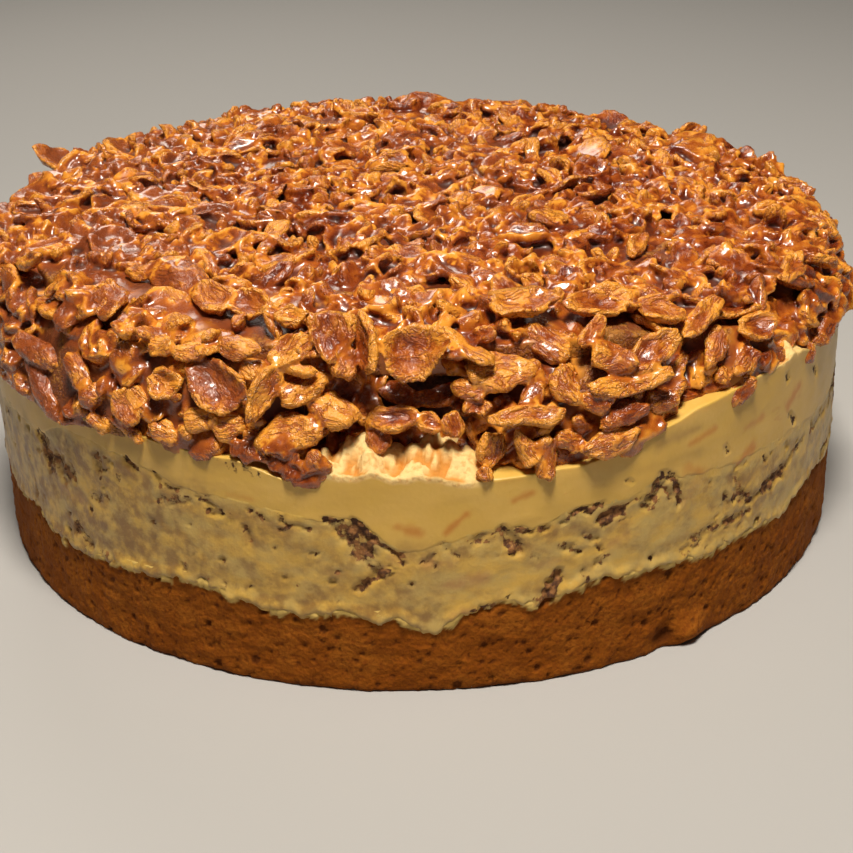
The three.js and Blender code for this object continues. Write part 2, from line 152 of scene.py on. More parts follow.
# The flakes beside the broken place, in the same way, but with their depth in the heap's outside for the radius
OUTER_FLAKES = [
    (40, 352, 2, 17, 8, -1.6, 0.4, -70, 50, 30, 96, 0.25), (44, 389, 1.6, 18, 5.5, -1, 0.2, -80, 64, 24, 66, 0.2),
    (78, 371, 1.4, 12.5, 6, -0.8, 0.6, -60, 52, 20, 62, 0.35), (92, 396, 1.4, 7.5, 6.5, -1.4, 0, -50, 60, 20, 90, 0.3),
    (100, 423, 1, 6.5, 4.5, -0.8, 0, -50, 70, 20, 80, 0.7), (129, 405, 1.2, 10, 9, 0.6, 0.8, -30, 60, 20, 60, 0.6),
    (165, 384, 1, 9, 8, 1.6, 0.8, 20, 54, 16, 90, 0.75), (190, 352, 1, 8.5, 4, -0.4, 0.4, -60, 40, 0, 104, 0.6),
    (162, 347, 1, 7, 5, -0.8, 0.2, -50, 40, 0, 110, 0.7), (238, 347, 0.4, 12.5, 5.5, -0.4, 0.6, -70, 36, 0, 84, 0.9),
    (217, 386, 1.4, 15, 13, 2.2, 1, 20, 58, 12, 60, 0.3), (165, 432, 1, 8, 4.6, -0.8, 0.2, -60, 70, 16, 84, 0.4),
    (199, 420, 1, 8.5, 5.5, -0.4, 0.6, -40, 62, 12, 112, 0.6), (228, 428, 1, 7.5, 6, -1, 0.2, -50, 62, 10, 90, 0.5),
    (128, 429, 0.8, 9, 3.4, -0.4, 0.4, -60, 74, 20, 78, 0.4), (255, 440, 0.6, 6, 4.4, -0.8, 0.2, -50, 70, 8, 80, 0.2),
    (250, 306, 1, 13, 10, 1.6, 1.2, 40, 30, 0, 70, 0.6), (215, 300, 1, 13, 10, 1.6, 1.4, 40, 26, 0, 60, 0.7),
    (180, 276, 0.6, 22, 15, -2, 0.2, -50, 22, 0, 80, 0.15), (150, 268, 0.6, 15, 5, 0.2, 0.4, -60, 30, 0, 130, 0.9),
    (30, 262, 0.6, 16, 6, 0.4, 1, 50, 30, -30, 100, 0.9), (110, 300, 1, 12, 9, -1, 0.6, -50, 30, 0, 60, 0.4),
    (628, 383, 0.6, 23, 5, 0.4, 2.4, -50, 48, 0, 90, 0.95),
    (716, 347, 0.8, 12, 5.6, -0.6, 0.4, -60, 46, -8, 124, 0.65),
    (652, 352, 1.2, 15, 9, 1.2, 1.6, 40, 44, -6, 112, 0.6), (612, 356, 1.2, 12, 8, -0.6, 1, -50, 48, 0, 60, 0.55),
    (757, 328, 1, 11.5, 8, 0.8, 1.2, 30, 44, -16, 70, 0.7), (746, 361, 1, 9.5, 5, -0.4, 0.4, -50, 50, -14, 100, 0.25),
    (721, 376, 1.4, 4.5, 3.4, -0.6, 0, -50, 50, 0, 40, 0.4), (694, 395, 1.2, 9.5, 9, -1.2, 0.2, -50, 62, -8, 60, 0.2),
    (742, 390, 1, 9, 6.5, -1, 0.4, -50, 66, -14, 110, 0.12), (822, 330, 1.4, 9, 8, -1.4, 0.2, -60, 56, -30, 90, 0.35),
    (806, 352, 1.4, 7, 5, -0.8, 0.2, -60, 60, -26, 120, 0.3), (598, 402, 1, 7.5, 6, -0.8, 0.4, -50, 56, 0, 70, 0.4),
    (624, 414, 1.4, 12.5, 5.5, -0.8, 0.4, -60, 60, 0, 100, 0.1), (660, 400, 1.6, 9, 6, -0.6, 0.6, -50, 56, 0, 80, 0.3),
    (611, 443, 0.4, 15, 6, -0.5, 0.8, -50, 64, 0, 94, 0.9), (570, 440, 1, 7, 6, -0.8, 0.4, -50, 66, 0, 70, 0.3),
    (566, 386, 1, 9.5, 7, -1, 0.6, -60, 52, 0, 30, 0.5), (592, 334, 1, 12, 5.5, 0.4, 0.6, 60, 30, 0, 124, 0.7),
    (703, 317, 0.8, 18, 6.5, 0.2, 0.8, 50, 26, 0, 110, 0.8), (660, 312, 1, 12, 9, 1.2, 1, 30, 26, 0, 60, 0.5),
    (790, 270, 0.8, 16, 6, 0.4, 1.4, 50, 30, -10, 96, 0.9), (550, 218, 0.6, 12, 5, -0.4, 0.6, -60, 30, 0, 60, 0.9),
    (636, 246, 0.6, 10, 5.5, 0.4, 0.8, 40, 30, 0, 112, 0.8),
]
# Small dark crumbs under the heap's hem left of the break, in the same way
HEM_CRUMBS = [
    (236, 449), (248, 455), (262, 459), (276, 464), (288, 472), (299, 479), (309, 481), (293, 459), (306, 468),
    (318, 473), (271, 450), (283, 451), (316, 462), (326, 466),
]

# The seams by their place in the picture: sponge and crumb-filled layer, then crumb-filled and smooth layer
SPONGE_LINE = [
    (24, 488), (48, 520), (80, 546), (112, 560), (150, 572), (190, 578), (232, 596), (301, 616), (333, 610),
    (366, 619), (389, 616), (421, 628), (441, 629), (461, 614), (481, 604), (513, 600), (536, 605), (551, 601),
    (566, 590), (583, 586), (596, 576), (618, 576), (660, 566), (700, 556), (742, 534), (778, 514), (806, 484),
]
CRUMB_LINE = [
    (30, 398), (60, 428), (100, 446), (150, 470), (200, 494), (250, 506), (301, 519), (351, 524), (373, 539),
    (401, 554), (441, 546), (476, 534), (501, 531), (533, 534), (566, 516), (598, 509), (626, 499), (660, 478),
    (700, 476), (742, 462), (780, 440), (812, 408),
]
# The upper edge of the smooth layer at the front: angle and height
CREAM_EDGE = [
    (-136.8, 58.6), (-121.6, 58.1), (-115, 57.4), (-111, 57.2), (-107, 54.6), (-104, 53.6), (-101, 55.4),
    (-94.5, 56.3), (-90, 54.6), (-84.2, 53.2), (-78, 53.8), (-69.8, 54.8), (-56.7, 61.5), (-46.6, 63.5), (-31.2, 62.4),
]

# Marks on the side by their place in the picture: from one spot to another, how thick in pixels and how strong
DARK_CRUMBS = [
    (50, 462, 68, 474, 20, 0.9), (46, 440, 36, 432, 9, 0.6), (40, 440, 43, 452, 11, 0.8), (95, 457, 96, 468, 8, 0.8),
    (124, 460, 136, 471, 7, 0.8), (152, 472, 156, 478, 5, 0.7), (158, 485, 172, 490, 4, 0.6),
    (196, 498, 212, 506, 2.4, 0.7), (212, 506, 229, 521, 2.4, 0.7), (158, 499, 186, 500, 9, 0.5),
    (89, 497, 106, 501, 9, 0.5), (247, 511, 250, 513, 5, 0.8), (257, 514, 262, 520, 5, 0.8),
    (244, 528, 249, 541, 7, 0.7), (279, 533, 292, 526, 4, 0.8), (292, 526, 308, 531, 3.5, 0.6),
    (278, 514, 282, 516, 4, 0.6), (74, 524, 92, 548, 10, 0.6), (100, 552, 112, 560, 8, 0.5),
    (325, 521, 352, 524, 5, 0.9), (352, 524, 374, 541, 8, 1), (374, 541, 400, 557, 5, 0.8),
    (344, 530, 366, 556, 17, 0.75), (362, 552, 372, 566, 9, 0.6), (360, 588, 377, 577, 9, 1),
    (378, 577, 388, 571, 3.5, 0.8), (443, 545, 457, 557, 6, 0.55), (466, 543, 487, 536, 3, 0.6),
    (504, 534, 516, 552, 13, 0.85), (516, 530, 532, 534, 4, 0.7), (541, 531, 546, 530, 5, 0.8),
    (564, 524, 576, 513, 3.6, 0.8), (576, 513, 593, 508, 3.6, 0.8), (590, 512, 600, 506, 9, 0.95),
    (604, 520, 624, 511, 11, 0.95), (564, 549, 580, 553, 9, 0.7), (586, 536, 594, 541, 7, 0.8),
    (597, 540, 602, 552, 3, 0.7), (548, 600, 557, 578, 12, 1), (585, 574, 590, 588, 6, 0.6),
    (474, 613, 500, 606, 8, 0.6), (531, 556, 540, 562, 6, 0.4), (598, 561, 608, 557, 5, 0.5),
    (656, 494, 664, 478, 10, 0.8), (664, 478, 676, 480, 9, 0.7), (676, 484, 681, 502, 9, 0.95),
    (649, 499, 658, 499, 8, 0.95), (642, 506, 654, 509, 4, 0.7), (668, 490, 672, 498, 7, 0.7),
    (620, 508, 642, 499, 3, 0.5), (628, 481, 632, 482, 4, 0.5), (738, 494, 754, 500, 12, 0.75),
    (759, 494, 782, 472, 12, 0.8), (782, 470, 804, 440, 8, 0.5), (728, 524, 750, 510, 7, 0.7),
    (696, 540, 716, 528, 9, 0.6), (684, 552, 700, 544, 6, 0.5), (734, 476, 742, 488, 7, 0.4),
    (792, 414, 796, 422, 5, 0.7), (788, 376, 790, 380, 4, 0.6), (815, 366, 818, 374, 4, 0.6),
    (727, 447, 729, 453, 4, 0.5), (812, 432, 824, 412, 5, 0.4),
]
GREY_SMEARS = [
    (56, 484, 72, 500, 22, 0.7), (24, 420, 34, 452, 12, 0.5), (92, 492, 112, 502, 18, 0.7),
    (150, 492, 190, 504, 30, 0.8), (140, 520, 150, 560, 14, 0.4), (196, 540, 250, 552, 14, 0.4),
    (168, 505, 176, 540, 10, 0.3), (250, 560, 300, 572, 12, 0.35), (318, 536, 326, 546, 16, 0.6),
    (332, 570, 344, 588, 22, 0.7), (376, 582, 410, 600, 24, 0.75), (404, 552, 452, 560, 14, 0.5),
    (420, 570, 440, 600, 12, 0.3), (520, 552, 542, 566, 14, 0.5), (560, 560, 600, 566, 8, 0.5),
    (576, 590, 592, 574, 8, 0.4), (610, 538, 634, 530, 10, 0.4), (660, 552, 700, 532, 8, 0.6),
    (660, 520, 690, 508, 8, 0.4), (700, 500, 740, 478, 20, 0.6), (742, 500, 790, 462, 24, 0.7),
    (790, 480, 815, 450, 18, 0.5), (660, 446, 680, 436, 8, 0.5), (676, 440, 700, 428, 7, 0.55),
    (640, 470, 700, 452, 8, 0.25), (812, 440, 826, 404, 10, 0.5), (60, 510, 80, 560, 10, 0.4),
    (108, 440, 150, 452, 10, 0.25), (200, 462, 240, 466, 10, 0.35),
]
TAN_SMEARS = [
    (62, 486, 80, 502, 12, 0.7), (425, 563, 452, 560, 9, 0.7), (446, 588, 486, 578, 9, 0.7),
    (452, 616, 468, 613, 6, 0.9), (610, 544, 634, 536, 9, 0.6), (688, 496, 700, 486, 12, 0.8),
    (742, 458, 754, 448, 9, 0.5), (120, 470, 140, 474, 6, 0.3), (390, 560, 410, 566, 12, 0.5),
    (540, 566, 560, 560, 6, 0.4),
]
ORANGE_STREAKS = [
    (446, 534, 466, 516, 3.5, 0.8), (396, 528, 418, 534, 6, 0.6), (514, 502, 532, 494, 4, 0.6),
    (740, 464, 754, 448, 8, 0.8), (790, 404, 800, 388, 10, 0.8), (692, 444, 716, 430, 5, 0.6),
    (748, 428, 764, 418, 5, 0.5), (690, 470, 712, 476, 10, 0.5), (226, 495, 250, 500, 4, 0.3),
]

# The photograph's camera, in metres: where it stands, what it looks at, its roll in degrees and its lens in millimetres
CAMERA_PLACE = (0, -0.4425, 0.2217)
CAMERA_TARGET = (0.00222, 0, 0.01369)
CAMERA_ROLL = 1.303
CAMERA_LENS = 71.75
SENSOR_WIDTH = 36
PICTURE_WIDTH = 853
FOCAL = CAMERA_LENS / SENSOR_WIDTH * PICTURE_WIDTH
PIXELS_PER_MM = 4.3

# The lamps: name, place, power and size
LAMPS = [
    ("key", (0.02, -0.36, 0.92), 13, 0.2), ("back", (-0.2, 0.7, 0.65), 2.2, 0.35), ("fill", (0.7, -1.3, 0.7), 0.2, 0.9),
]


# Angles, bumps and noise


def cosine(degrees):
    return np.cos(np.radians(degrees))


def sine(degrees):
    return np.sin(np.radians(degrees))


def apart(a, b):
    """The signed angle from b to a, in degrees."""
    return (a - b + 180) % 360 - 180


def hump(value, centre, width):
    """A smooth bump, 1 at the centre and fading over the width."""
    return np.exp(-(((value - centre) / width) ** 2))


def swell(angle, centre, width):
    """The same round the cake."""
    return hump(apart(angle, centre), 0, width)


def ragged(angle, amount, turn):
    """A small unevenness that closes on itself round the cake."""
    slow = sine(7 * angle + turn)
    quick = sine(13 * angle + 2.7 * turn)
    quickest = sine(22 * angle + 1.3 * turn)
    return amount * (0.5 * slow + 0.4 * quick + 0.35 * quickest)


def step_up(value, low, high):
    """0 below low, 1 above high and smooth between."""
    share = np.clip((value - low) / (high - low), 0, 1)
    return share * share * (3 - 2 * share)


def scrambled(cells, seed):
    """A number from 0 to 1 for each whole-number cell, always the same for one seed."""
    x, y, z = (cells[..., axis].astype(np.int64).astype(np.uint32) for axis in range(3))
    mixed = x * np.uint32(374761393) + y * np.uint32(668265263) + z * np.uint32(2246822519)
    mixed = mixed + np.uint32((seed * 3266489917) & 0xFFFFFFFF)
    for shift, factor in ((15, 2246822519), (13, 3266489917), (16, 668265263)):
        mixed = (mixed ^ (mixed >> np.uint32(shift))) * np.uint32(factor)
    return (mixed ^ (mixed >> np.uint32(15))) / 4294967296.0


def smooth_noise(points, size, seed):
    """Noise from -1 to 1 whose lumps are about size across."""
    scaled = points / size
    cell = np.floor(scaled)
    part = scaled - cell
    part = part * part * (3 - 2 * part)
    total = np.zeros(points.shape[:-1])
    for corner in np.ndindex(2, 2, 2):
        corner = np.array(corner)
        weight = np.prod(np.where(corner == 1, part, 1 - part), axis=-1)
        total += weight * scrambled(cell + corner, seed)
    return 2 * total - 1


def rough_noise(points, size, seed, octaves=4, keep=0.5):
    """Noise from about -1 to 1 with finer lumps on the coarse ones."""
    total = 0
    weight = 1
    for octave in range(octaves):
        total = total + weight * smooth_noise(points, size / 2**octave, seed + 31 * octave)
        weight *= keep
    return total


def grains(points, size, seed):
    """The distance to the nearest of some scattered grains, in grain sizes, and that grain's own number."""
    scaled = points / size
    cell = np.floor(scaled)
    nearest = np.full(points.shape[:-1], 9.0)
    own = np.zeros(points.shape[:-1])
    for offset in np.ndindex(3, 3, 3):
        other = cell + np.array(offset) - 1
        place = np.stack([scrambled(other, seed + axis) for axis in range(3)], axis=-1)
        distance = np.linalg.norm(other + place - scaled, axis=-1)
        closer = distance < nearest
        nearest = np.where(closer, distance, nearest)
        own = np.where(closer, scrambled(other, seed + 7), own)
    return nearest, own


def seeded_draws(seed):
    """Numbers from 0 to 1, the same each time for one seed."""
    full = 0xFFFFFFFF
    state = seed
    while True:
        state = (state + 0x6D2B79F5) & full
        value = ((state ^ (state >> 15)) * (1 | state)) & full
        value = ((value + (((value ^ (value >> 7)) * (61 | value)) & full)) & full) ^ value
        yield (value ^ (value >> 14)) / 4294967296


def camera_turn():
    """The camera's rotation: its columns point right, up and back."""
    aim = (Vector(CAMERA_TARGET) - Vector(CAMERA_PLACE)).normalized()
    return Matrix.Rotation(math.radians(CAMERA_ROLL), 3, aim) @ aim.to_track_quat("-Z", "Y").to_matrix()


CAMERA_TURN = camera_turn()


def picture_ray(x, y):
    """The camera's place in millimetres and the direction in which it sees a spot of the picture."""
    ray = CAMERA_TURN @ Vector((x - PICTURE_WIDTH / 2, PICTURE_WIDTH / 2 - y, -FOCAL))
    return Vector(CAMERA_PLACE) / MM, ray.normalized()


def on_side(x, y, radius):
    """The angle and height where a spot of the picture falls on an upright cylinder, all in millimetres."""
    start, ray = picture_ray(x, y)
    square = ray.x**2 + ray.y**2
    half = start.x * ray.x + start.y * ray.y
    root = half**2 - square * (start.x**2 + start.y**2 - radius**2)
    if root < 0:
        raise ValueError(f"the spot {x}, {y} of the picture misses the cake")
    spot = start + ray * ((-half - math.sqrt(root)) / square)
    return math.degrees(math.atan2(spot.y, spot.x)), spot.z


def in_picture(place):
    """Where a place on the cake, in millimetres, falls in the picture, and how far it is from the camera."""
    seen = CAMERA_TURN.transposed() @ (Vector(place) - Vector(CAMERA_PLACE) / MM)
    return PICTURE_WIDTH / 2 - seen.x * FOCAL / seen.z, PICTURE_WIDTH / 2 + seen.y * FOCAL / seen.z, -seen.z


def traced(line, angles, heights, blend=8):
    """Heights that follow a line of (angle, height) points where it runs, and the given ones elsewhere."""
    line = sorted(line)
    first, last = line[0][0], line[-1][0]
    turned = apart(angles, FRONT) + FRONT
    followed = np.interp(turned, [angle for angle, _ in line], [height for _, height in line])
    share = step_up(turned, first, first + blend) * (1 - step_up(turned, last - blend, last))
    return heights + (followed - heights) * share


class CakeForm:
    """The seams and the dome of the cake in millimetres, from the sizes in the panel."""

    def __init__(self, sizes):
        self.radius = sizes.ring_radius / MM
        self.sponge_mean = sizes.sponge_top / MM
        self.crumb_mean = sizes.crumb_layer_top / MM
        self.cream_mean = sizes.cream_top / MM
        self.crown_mean = sizes.crown_top / MM
        self.step = sizes.surface_step / MM
        self.voxel = sizes.heap_voxel / MM
        self.sponge_line = [on_side(x, y, self.radius) for x, y in SPONGE_LINE]
        self.crumb_line = [on_side(x, y, self.radius) for x, y in CRUMB_LINE]

    def sponge_top(self, angle):
        dip = 8 * swell(angle, -92, 38)
        mean = self.sponge_mean + cosine(angle + 20) - dip + ragged(angle, 1.3, 40)
        return traced(self.sponge_line, angle, mean)

    def crumb_top(self, angle):
        dips = 8.5 * swell(angle, -90, 9) + 3 * swell(angle, -45, 12)
        mean = self.crumb_mean - dips + 4 * swell(angle, -135, 22) + ragged(angle, 1.1, 100)
        return traced(self.crumb_line, angle, mean)

    def cream_top(self, angle):
        dip = 4 * swell(angle, -88, 16)
        mean = self.cream_mean + 4 * cosine(angle + 30) - dip + ragged(angle, 0.7, 200)
        return traced(CREAM_EDGE, angle, mean)

    def crown(self, x, y):
        share = np.hypot(x, y) / CROWN_RADIUS
        return self.crown_mean - CROWN_DROP * share**CROWN_POWER - CROWN_SLOPE * x

    def crown_at(self, radius, angle):
        return self.crown(radius * cosine(angle), radius * sine(angle))


# Meshes


def new_piece(name, slot, node, points, faces, marks):
    """A smooth-shaded piece from points in millimetres, which stands for a node. marks are values per point."""
    mesh = bpy.data.meshes.new(name)
    mesh.from_pydata((kept_inside(points) * MM).tolist(), [], faces)
    mesh.shade_smooth()
    for mark, values in marks.items():
        if values.ndim == 2:
            attribute = mesh.attributes.new(mark, "FLOAT_VECTOR", "POINT")
            attribute.data.foreach_set("vector", (values * MM).astype(np.float32).ravel())
        else:
            attribute = mesh.attributes.new(mark, "FLOAT", "POINT")
            attribute.data.foreach_set("value", np.clip(values, 0, 1).astype(np.float32))
    mesh.materials.append(finish(slot))
    piece = bpy.data.objects.new(name, mesh)
    bpy.context.scene.collection.objects.link(piece)
    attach(piece, BODY)
    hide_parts(node)


def kept_inside(points):
    """Points moved just inside the model's own box where they pass it."""
    low, high = np.array(CAD_BOX) / MM
    return np.clip(points, low + BOX_MARGIN, high - BOX_MARGIN)


def ring_faces(rings, sectors, first=0):
    """Quads between rings of points that lie one after another, facing out where the rings go up outside."""
    ring = np.arange(rings - 1)[:, None] * sectors
    here = np.arange(sectors)[None, :]
    there = (here + 1) % sectors
    corners = [ring + here, ring + there, ring + sectors + there, ring + sectors + here]
    return first + np.stack(corners, axis=-1).reshape(-1, 4)


def fan_faces(centre, ring_start, sectors, flipped):
    """Triangles from a centre point to a ring."""
    here = ring_start + np.arange(sectors)
    there = ring_start + (np.arange(sectors) + 1) % sectors
    middle = np.full(sectors, centre)
    return np.stack((middle, there, here) if flipped else (middle, here, there), axis=-1)


def side_points(angles, heights, radius):
    """Points at one radius or several, one row for each row of heights."""
    return np.stack([radius * cosine(angles) + 0 * heights, radius * sine(angles) + 0 * heights, heights], axis=-1)


def ring_points(rows, angles):
    """A ring of points for each row of (radius, height) round the axis."""
    return np.concatenate([side_points(angles, height + 0 * angles, radius) for radius, height in rows])


def ring_skin(rows, angles):
    """A closed body's points and faces, from rows of (radius, height) outward from its underside and up to its top."""
    sectors = len(angles)
    ends = [[0, 0, np.mean(row[1])] for row in (rows[0], rows[-1])]
    points = np.concatenate([ring_points(rows, angles), ends])
    last = len(points) - 1
    bottom = fan_faces(last - 1, 0, sectors, True)
    top = fan_faces(last, (len(rows) - 1) * sectors, sectors, False)
    return points, ring_faces(len(rows), sectors).tolist() + bottom.tolist() + top.tolist()


def ring_loop(rows, angles):
    """The same for a closed ring with a hole in its middle, whose last row meets its first."""
    points = ring_points(rows, angles)
    return points, (ring_faces(len(rows) + 1, len(angles)) % len(points)).tolist()


def even_angles(radius, spacing):
    """Angles round a circle, spacing millimetres apart at that radius."""
    count = int(2 * math.pi * radius / spacing)
    return np.arange(count) * 360.0 / count


# Materials


def cake_colour(name):
    return tuple(getattr(bpy.context.scene.cake_colours, name))


class Nodes:
    """A node tree while it is filled. A socket takes another socket, the name of a cake colour or a plain value."""

    def __init__(self, tree):
        self.tree = tree

    def feed(self, node, inputs):
        """Fill a node's inputs, named with _ for a space or by _ and a number."""
        for key, value in inputs.items():
            socket = node.inputs[int(key[1:]) if key[1:].isdigit() else key.replace("_", " ")]
            if isinstance(value, bpy.types.NodeSocket):
                self.tree.links.new(value, socket)
            elif isinstance(value, str):
                socket.default_value = cake_colour(value)
            elif value is not None:
                socket.default_value = value
        return node

    def add(self, kind, settings=None, **inputs):
        made = self.tree.nodes.new("ShaderNode" + kind)
        for key, value in (settings or {}).items():
            setattr(made, key, value)
        return self.feed(made, inputs)

    def calc(self, operation, first, second=None):
        """A math node's result."""
        return self.add("Math", {"operation": operation}, _0=first, _1=second).outputs[0]

    def blend(self, share, first, second):
        """Two colours mixed by a share."""
        return self.add("Mix", {"data_type": "RGBA"}, _0=share, _6=first, _7=second).outputs[2]

    def span(self, value, low, high, to_low=0.0, to_high=1.0):
        """A value moved smoothly from one range into another."""
        way = {"interpolation_type": "SMOOTHSTEP"}
        return self.add("MapRange", way, _0=value, _1=low, _2=high, _3=to_low, _4=to_high).outputs[0]

    def mark(self, name, output="Fac"):
        """The value that each point of the piece carries under that name."""
        return self.add("Attribute", {"attribute_name": name}).outputs[output]

    def place(self):
        return self.add("TexCoord").outputs["Object"]

    def noise(self, size, detail=3.0, roughness=0.55, stretch=(1, 1, 1), place=None):
        """Noise from 0 to 1 with lumps of size millimetres."""
        place = self.place() if place is None else place
        mapped = self.add("Mapping", Vector=place, Scale=stretch).outputs[0]
        noise = self.add("TexNoise", Vector=mapped, Scale=1 / (size * MM), Detail=detail, Roughness=roughness)
        return noise.outputs["Fac"]

    def grain(self, size, fineness):
        """The fine grain's mask and height."""
        size = size * MM
        return self.add("Group", {"node_tree": grain_group()}, Grain_Size=size, Fineness=fineness).outputs

    def bump(self, height, strength, distance, normal=None):
        """A normal from heights, distance millimetres high."""
        return self.add("Bump", Height=height, Strength=strength, Distance=distance * MM, Normal=normal).outputs[0]

    def ramp(self, value, stops):
        """A colour for each value from 0 to 1, blended between stops of (position, colour)."""
        made = self.add("ValToRGB", _0=value)
        elements = made.color_ramp.elements
        while len(elements) < len(stops):
            elements.new(1.0)
        for element, (position, colour) in zip(elements, stops):
            element.position = position
            element.color = cake_colour(colour)
        return made.outputs[0]


class Finish(Nodes):
    """A material while it is made: one Principled shader, with plain values set on it, and the nodes that feed it."""

    def __init__(self, name, **shader):
        self.material = bpy.data.materials.new(name)
        self.material.use_nodes = True
        super().__init__(self.material.node_tree)
        self.shader = self.feed(self.tree.nodes["Principled BSDF"], shader)

    def crumbs(self, *noise):
        """Where the dark crumbs are, and the painted shade of hollows and under the heap's hem, with a ragged edge."""
        breakup = self.span(self.noise(*noise), 0.3, 0.7, -0.35, 0.35)
        return self.span(self.calc("ADD", self.mark("crumb"), breakup), 0.35, 0.7)

    def done(self, **inputs):
        self.feed(self.shader, inputs)
        return self.material


def grain_group():
    """Fine grain that every finish shares: a Mask of lumps and a Height for bumps, from a Grain Size in metres."""
    name = "Fine_grain"
    if name in bpy.data.node_groups:
        return bpy.data.node_groups[name]
    group = bpy.data.node_groups.new(name, "ShaderNodeTree")
    for socket, way, value in (("Grain Size", "INPUT", 0.001), ("Fineness", "INPUT", 0.5)):
        group.interface.new_socket(socket, in_out=way, socket_type="NodeSocketFloat").default_value = value
    for socket in ("Mask", "Height"):
        group.interface.new_socket(socket, in_out="OUTPUT", socket_type="NodeSocketFloat")
    start = group.nodes.new("NodeGroupInput")
    nodes = Nodes(group)
    scale = nodes.calc("DIVIDE", 1.0, start.outputs["Grain Size"])
    place = nodes.place()
    fineness = start.outputs["Fineness"]
    lumps = nodes.add("TexNoise", Vector=place, Scale=scale, Detail=4.0, Roughness=fineness).outputs["Fac"]
    pits = nodes.add("TexVoronoi", Vector=place, Scale=scale).outputs["Distance"]
    height = nodes.calc("ADD", lumps, nodes.calc("MULTIPLY", pits, 0.6))
    nodes.feed(group.nodes.new("NodeGroupOutput"), {"Mask": lumps, "Height": height})
    return group


def sponge_finish(name):
    """Baked sponge: mottled tan, pores painted dark as shade, a darker foot that is partly burnt and partly the painted
    shadow of its dent, smears of ice cream near the seam.
    """
    look = Finish(name, Specular_IOR_Level=0.1)
    grain = look.grain(1.1, 0.65)
    baked = look.blend(look.span(look.noise(9, 4), 0.35, 0.7), "sponge", "sponge_light")
    crumb = look.blend(look.span(grain["Mask"], 0.34, 0.56), "sponge_dark", baked)
    # Painted shade: the pores take a near-black colour inside
    pore_shaded = look.blend(look.span(look.mark("pore"), 0.15, 0.8, 0.0, 0.85), crumb, "sponge_burnt_and_shaded")
    footed = look.blend(look.span(look.mark("foot"), 0.2, 1.0, 0.0, 0.85), pore_shaded, "sponge_burnt_and_shaded")
    smear = look.mark("smear")
    coloured = look.blend(smear, footed, "crumb_cream")
    roughness = look.span(smear, 0.2, 0.9, 0.85, 0.45)
    return look.done(Base_Color=coloured, Roughness=roughness, Normal=look.bump(grain["Height"], 0.7, 0.4))


def crumb_ice_cream_finish(name):
    """Ice cream full of crumbs: pale and smeared, brown where crumbs and flakes show through, and painted dark in its
    hollows as shade.
    """
    look = Finish(name, Subsurface_Weight=0.15, Subsurface_Scale=0.002, Subsurface_Radius=(1.0, 0.7, 0.4))
    grain = look.grain(0.8, 0.6)
    pale = look.span(look.noise(8, 4, stretch=(1, 1, 1.6)), 0.35, 0.65)
    cream = look.blend(pale, "crumb_cream", "smooth_cream")
    thin = look.span(look.noise(3.6, 4, 0.55), 0.34, 0.64, 0.1, 1.0)
    smeared = look.blend(look.calc("MULTIPLY", look.mark("veil"), thin), cream, "veiled_crumb")
    warmed = look.blend(look.calc("MULTIPLY", look.mark("tan"), thin), smeared, "tan_smear")
    crumb = look.crumbs(1.6, 4, 0.6)
    brown = look.blend(look.span(look.noise(1.5, 3), 0.38, 0.6), "crumb_dark_and_shade", "crumb")
    coloured = look.blend(crumb, warmed, brown)
    normal = look.bump(grain["Height"], look.span(crumb, 0.0, 1.0, 0.22, 0.7), 0.35)
    return look.done(Base_Color=coloured, Roughness=look.span(crumb, 0.0, 1.0, 0.42, 0.8), Normal=normal)


def smooth_ice_cream_finish(name):
    """Smooth ice cream: satin yellow with faint streaks of caramel, crumbly where it is torn with painted shade in its
    pits, and dark crumbs with painted shade under the heap's hem.
    """
    look = Finish(name, Subsurface_Weight=0.2, Subsurface_Scale=0.003, Subsurface_Radius=(1.0, 0.75, 0.45))
    grain = look.grain(1.3, 0.5)
    torn = look.mark("torn")
    clouds = look.span(look.noise(14, 4, stretch=(1, 1, 1.8)), 0.35, 0.7)
    cream = look.blend(clouds, "smooth_cream", "smooth_cream_pale")
    smeared = look.blend(look.mark("veil"), cream, "veiled_crumb")
    ribbons = look.span(look.noise(10, 3, stretch=(1, 1, 2.6)), 0.68, 0.74, 0.0, 0.35)
    streaked = look.blend(look.calc("MAXIMUM", look.mark("streak"), ribbons), smeared, "streak")
    fresh = look.blend(torn, streaked, "torn_cream")
    # Where torn, the grain's specks and the ledge's low pits take the streak colour as painted shade
    fine = look.span(grain["Mask"], 0.52, 0.36, 0.0, 0.5)
    pit_shade_and_grain = look.calc("MULTIPLY", torn, look.calc("MAXIMUM", fine, look.mark("streak")))
    crumbly = look.blend(pit_shade_and_grain, fresh, "streak")
    crumb = look.crumbs(1.4, 3)
    coloured = look.blend(crumb, crumbly, "crumb_dark_and_shade")
    coarse = look.calc("MAXIMUM", torn, crumb)
    normal = look.bump(grain["Height"], look.span(coarse, 0.0, 1.0, 0.1, 0.8), 0.4)
    return look.done(Base_Color=coloured, Roughness=look.span(coarse, 0.0, 1.0, 0.4, 0.8), Normal=normal)


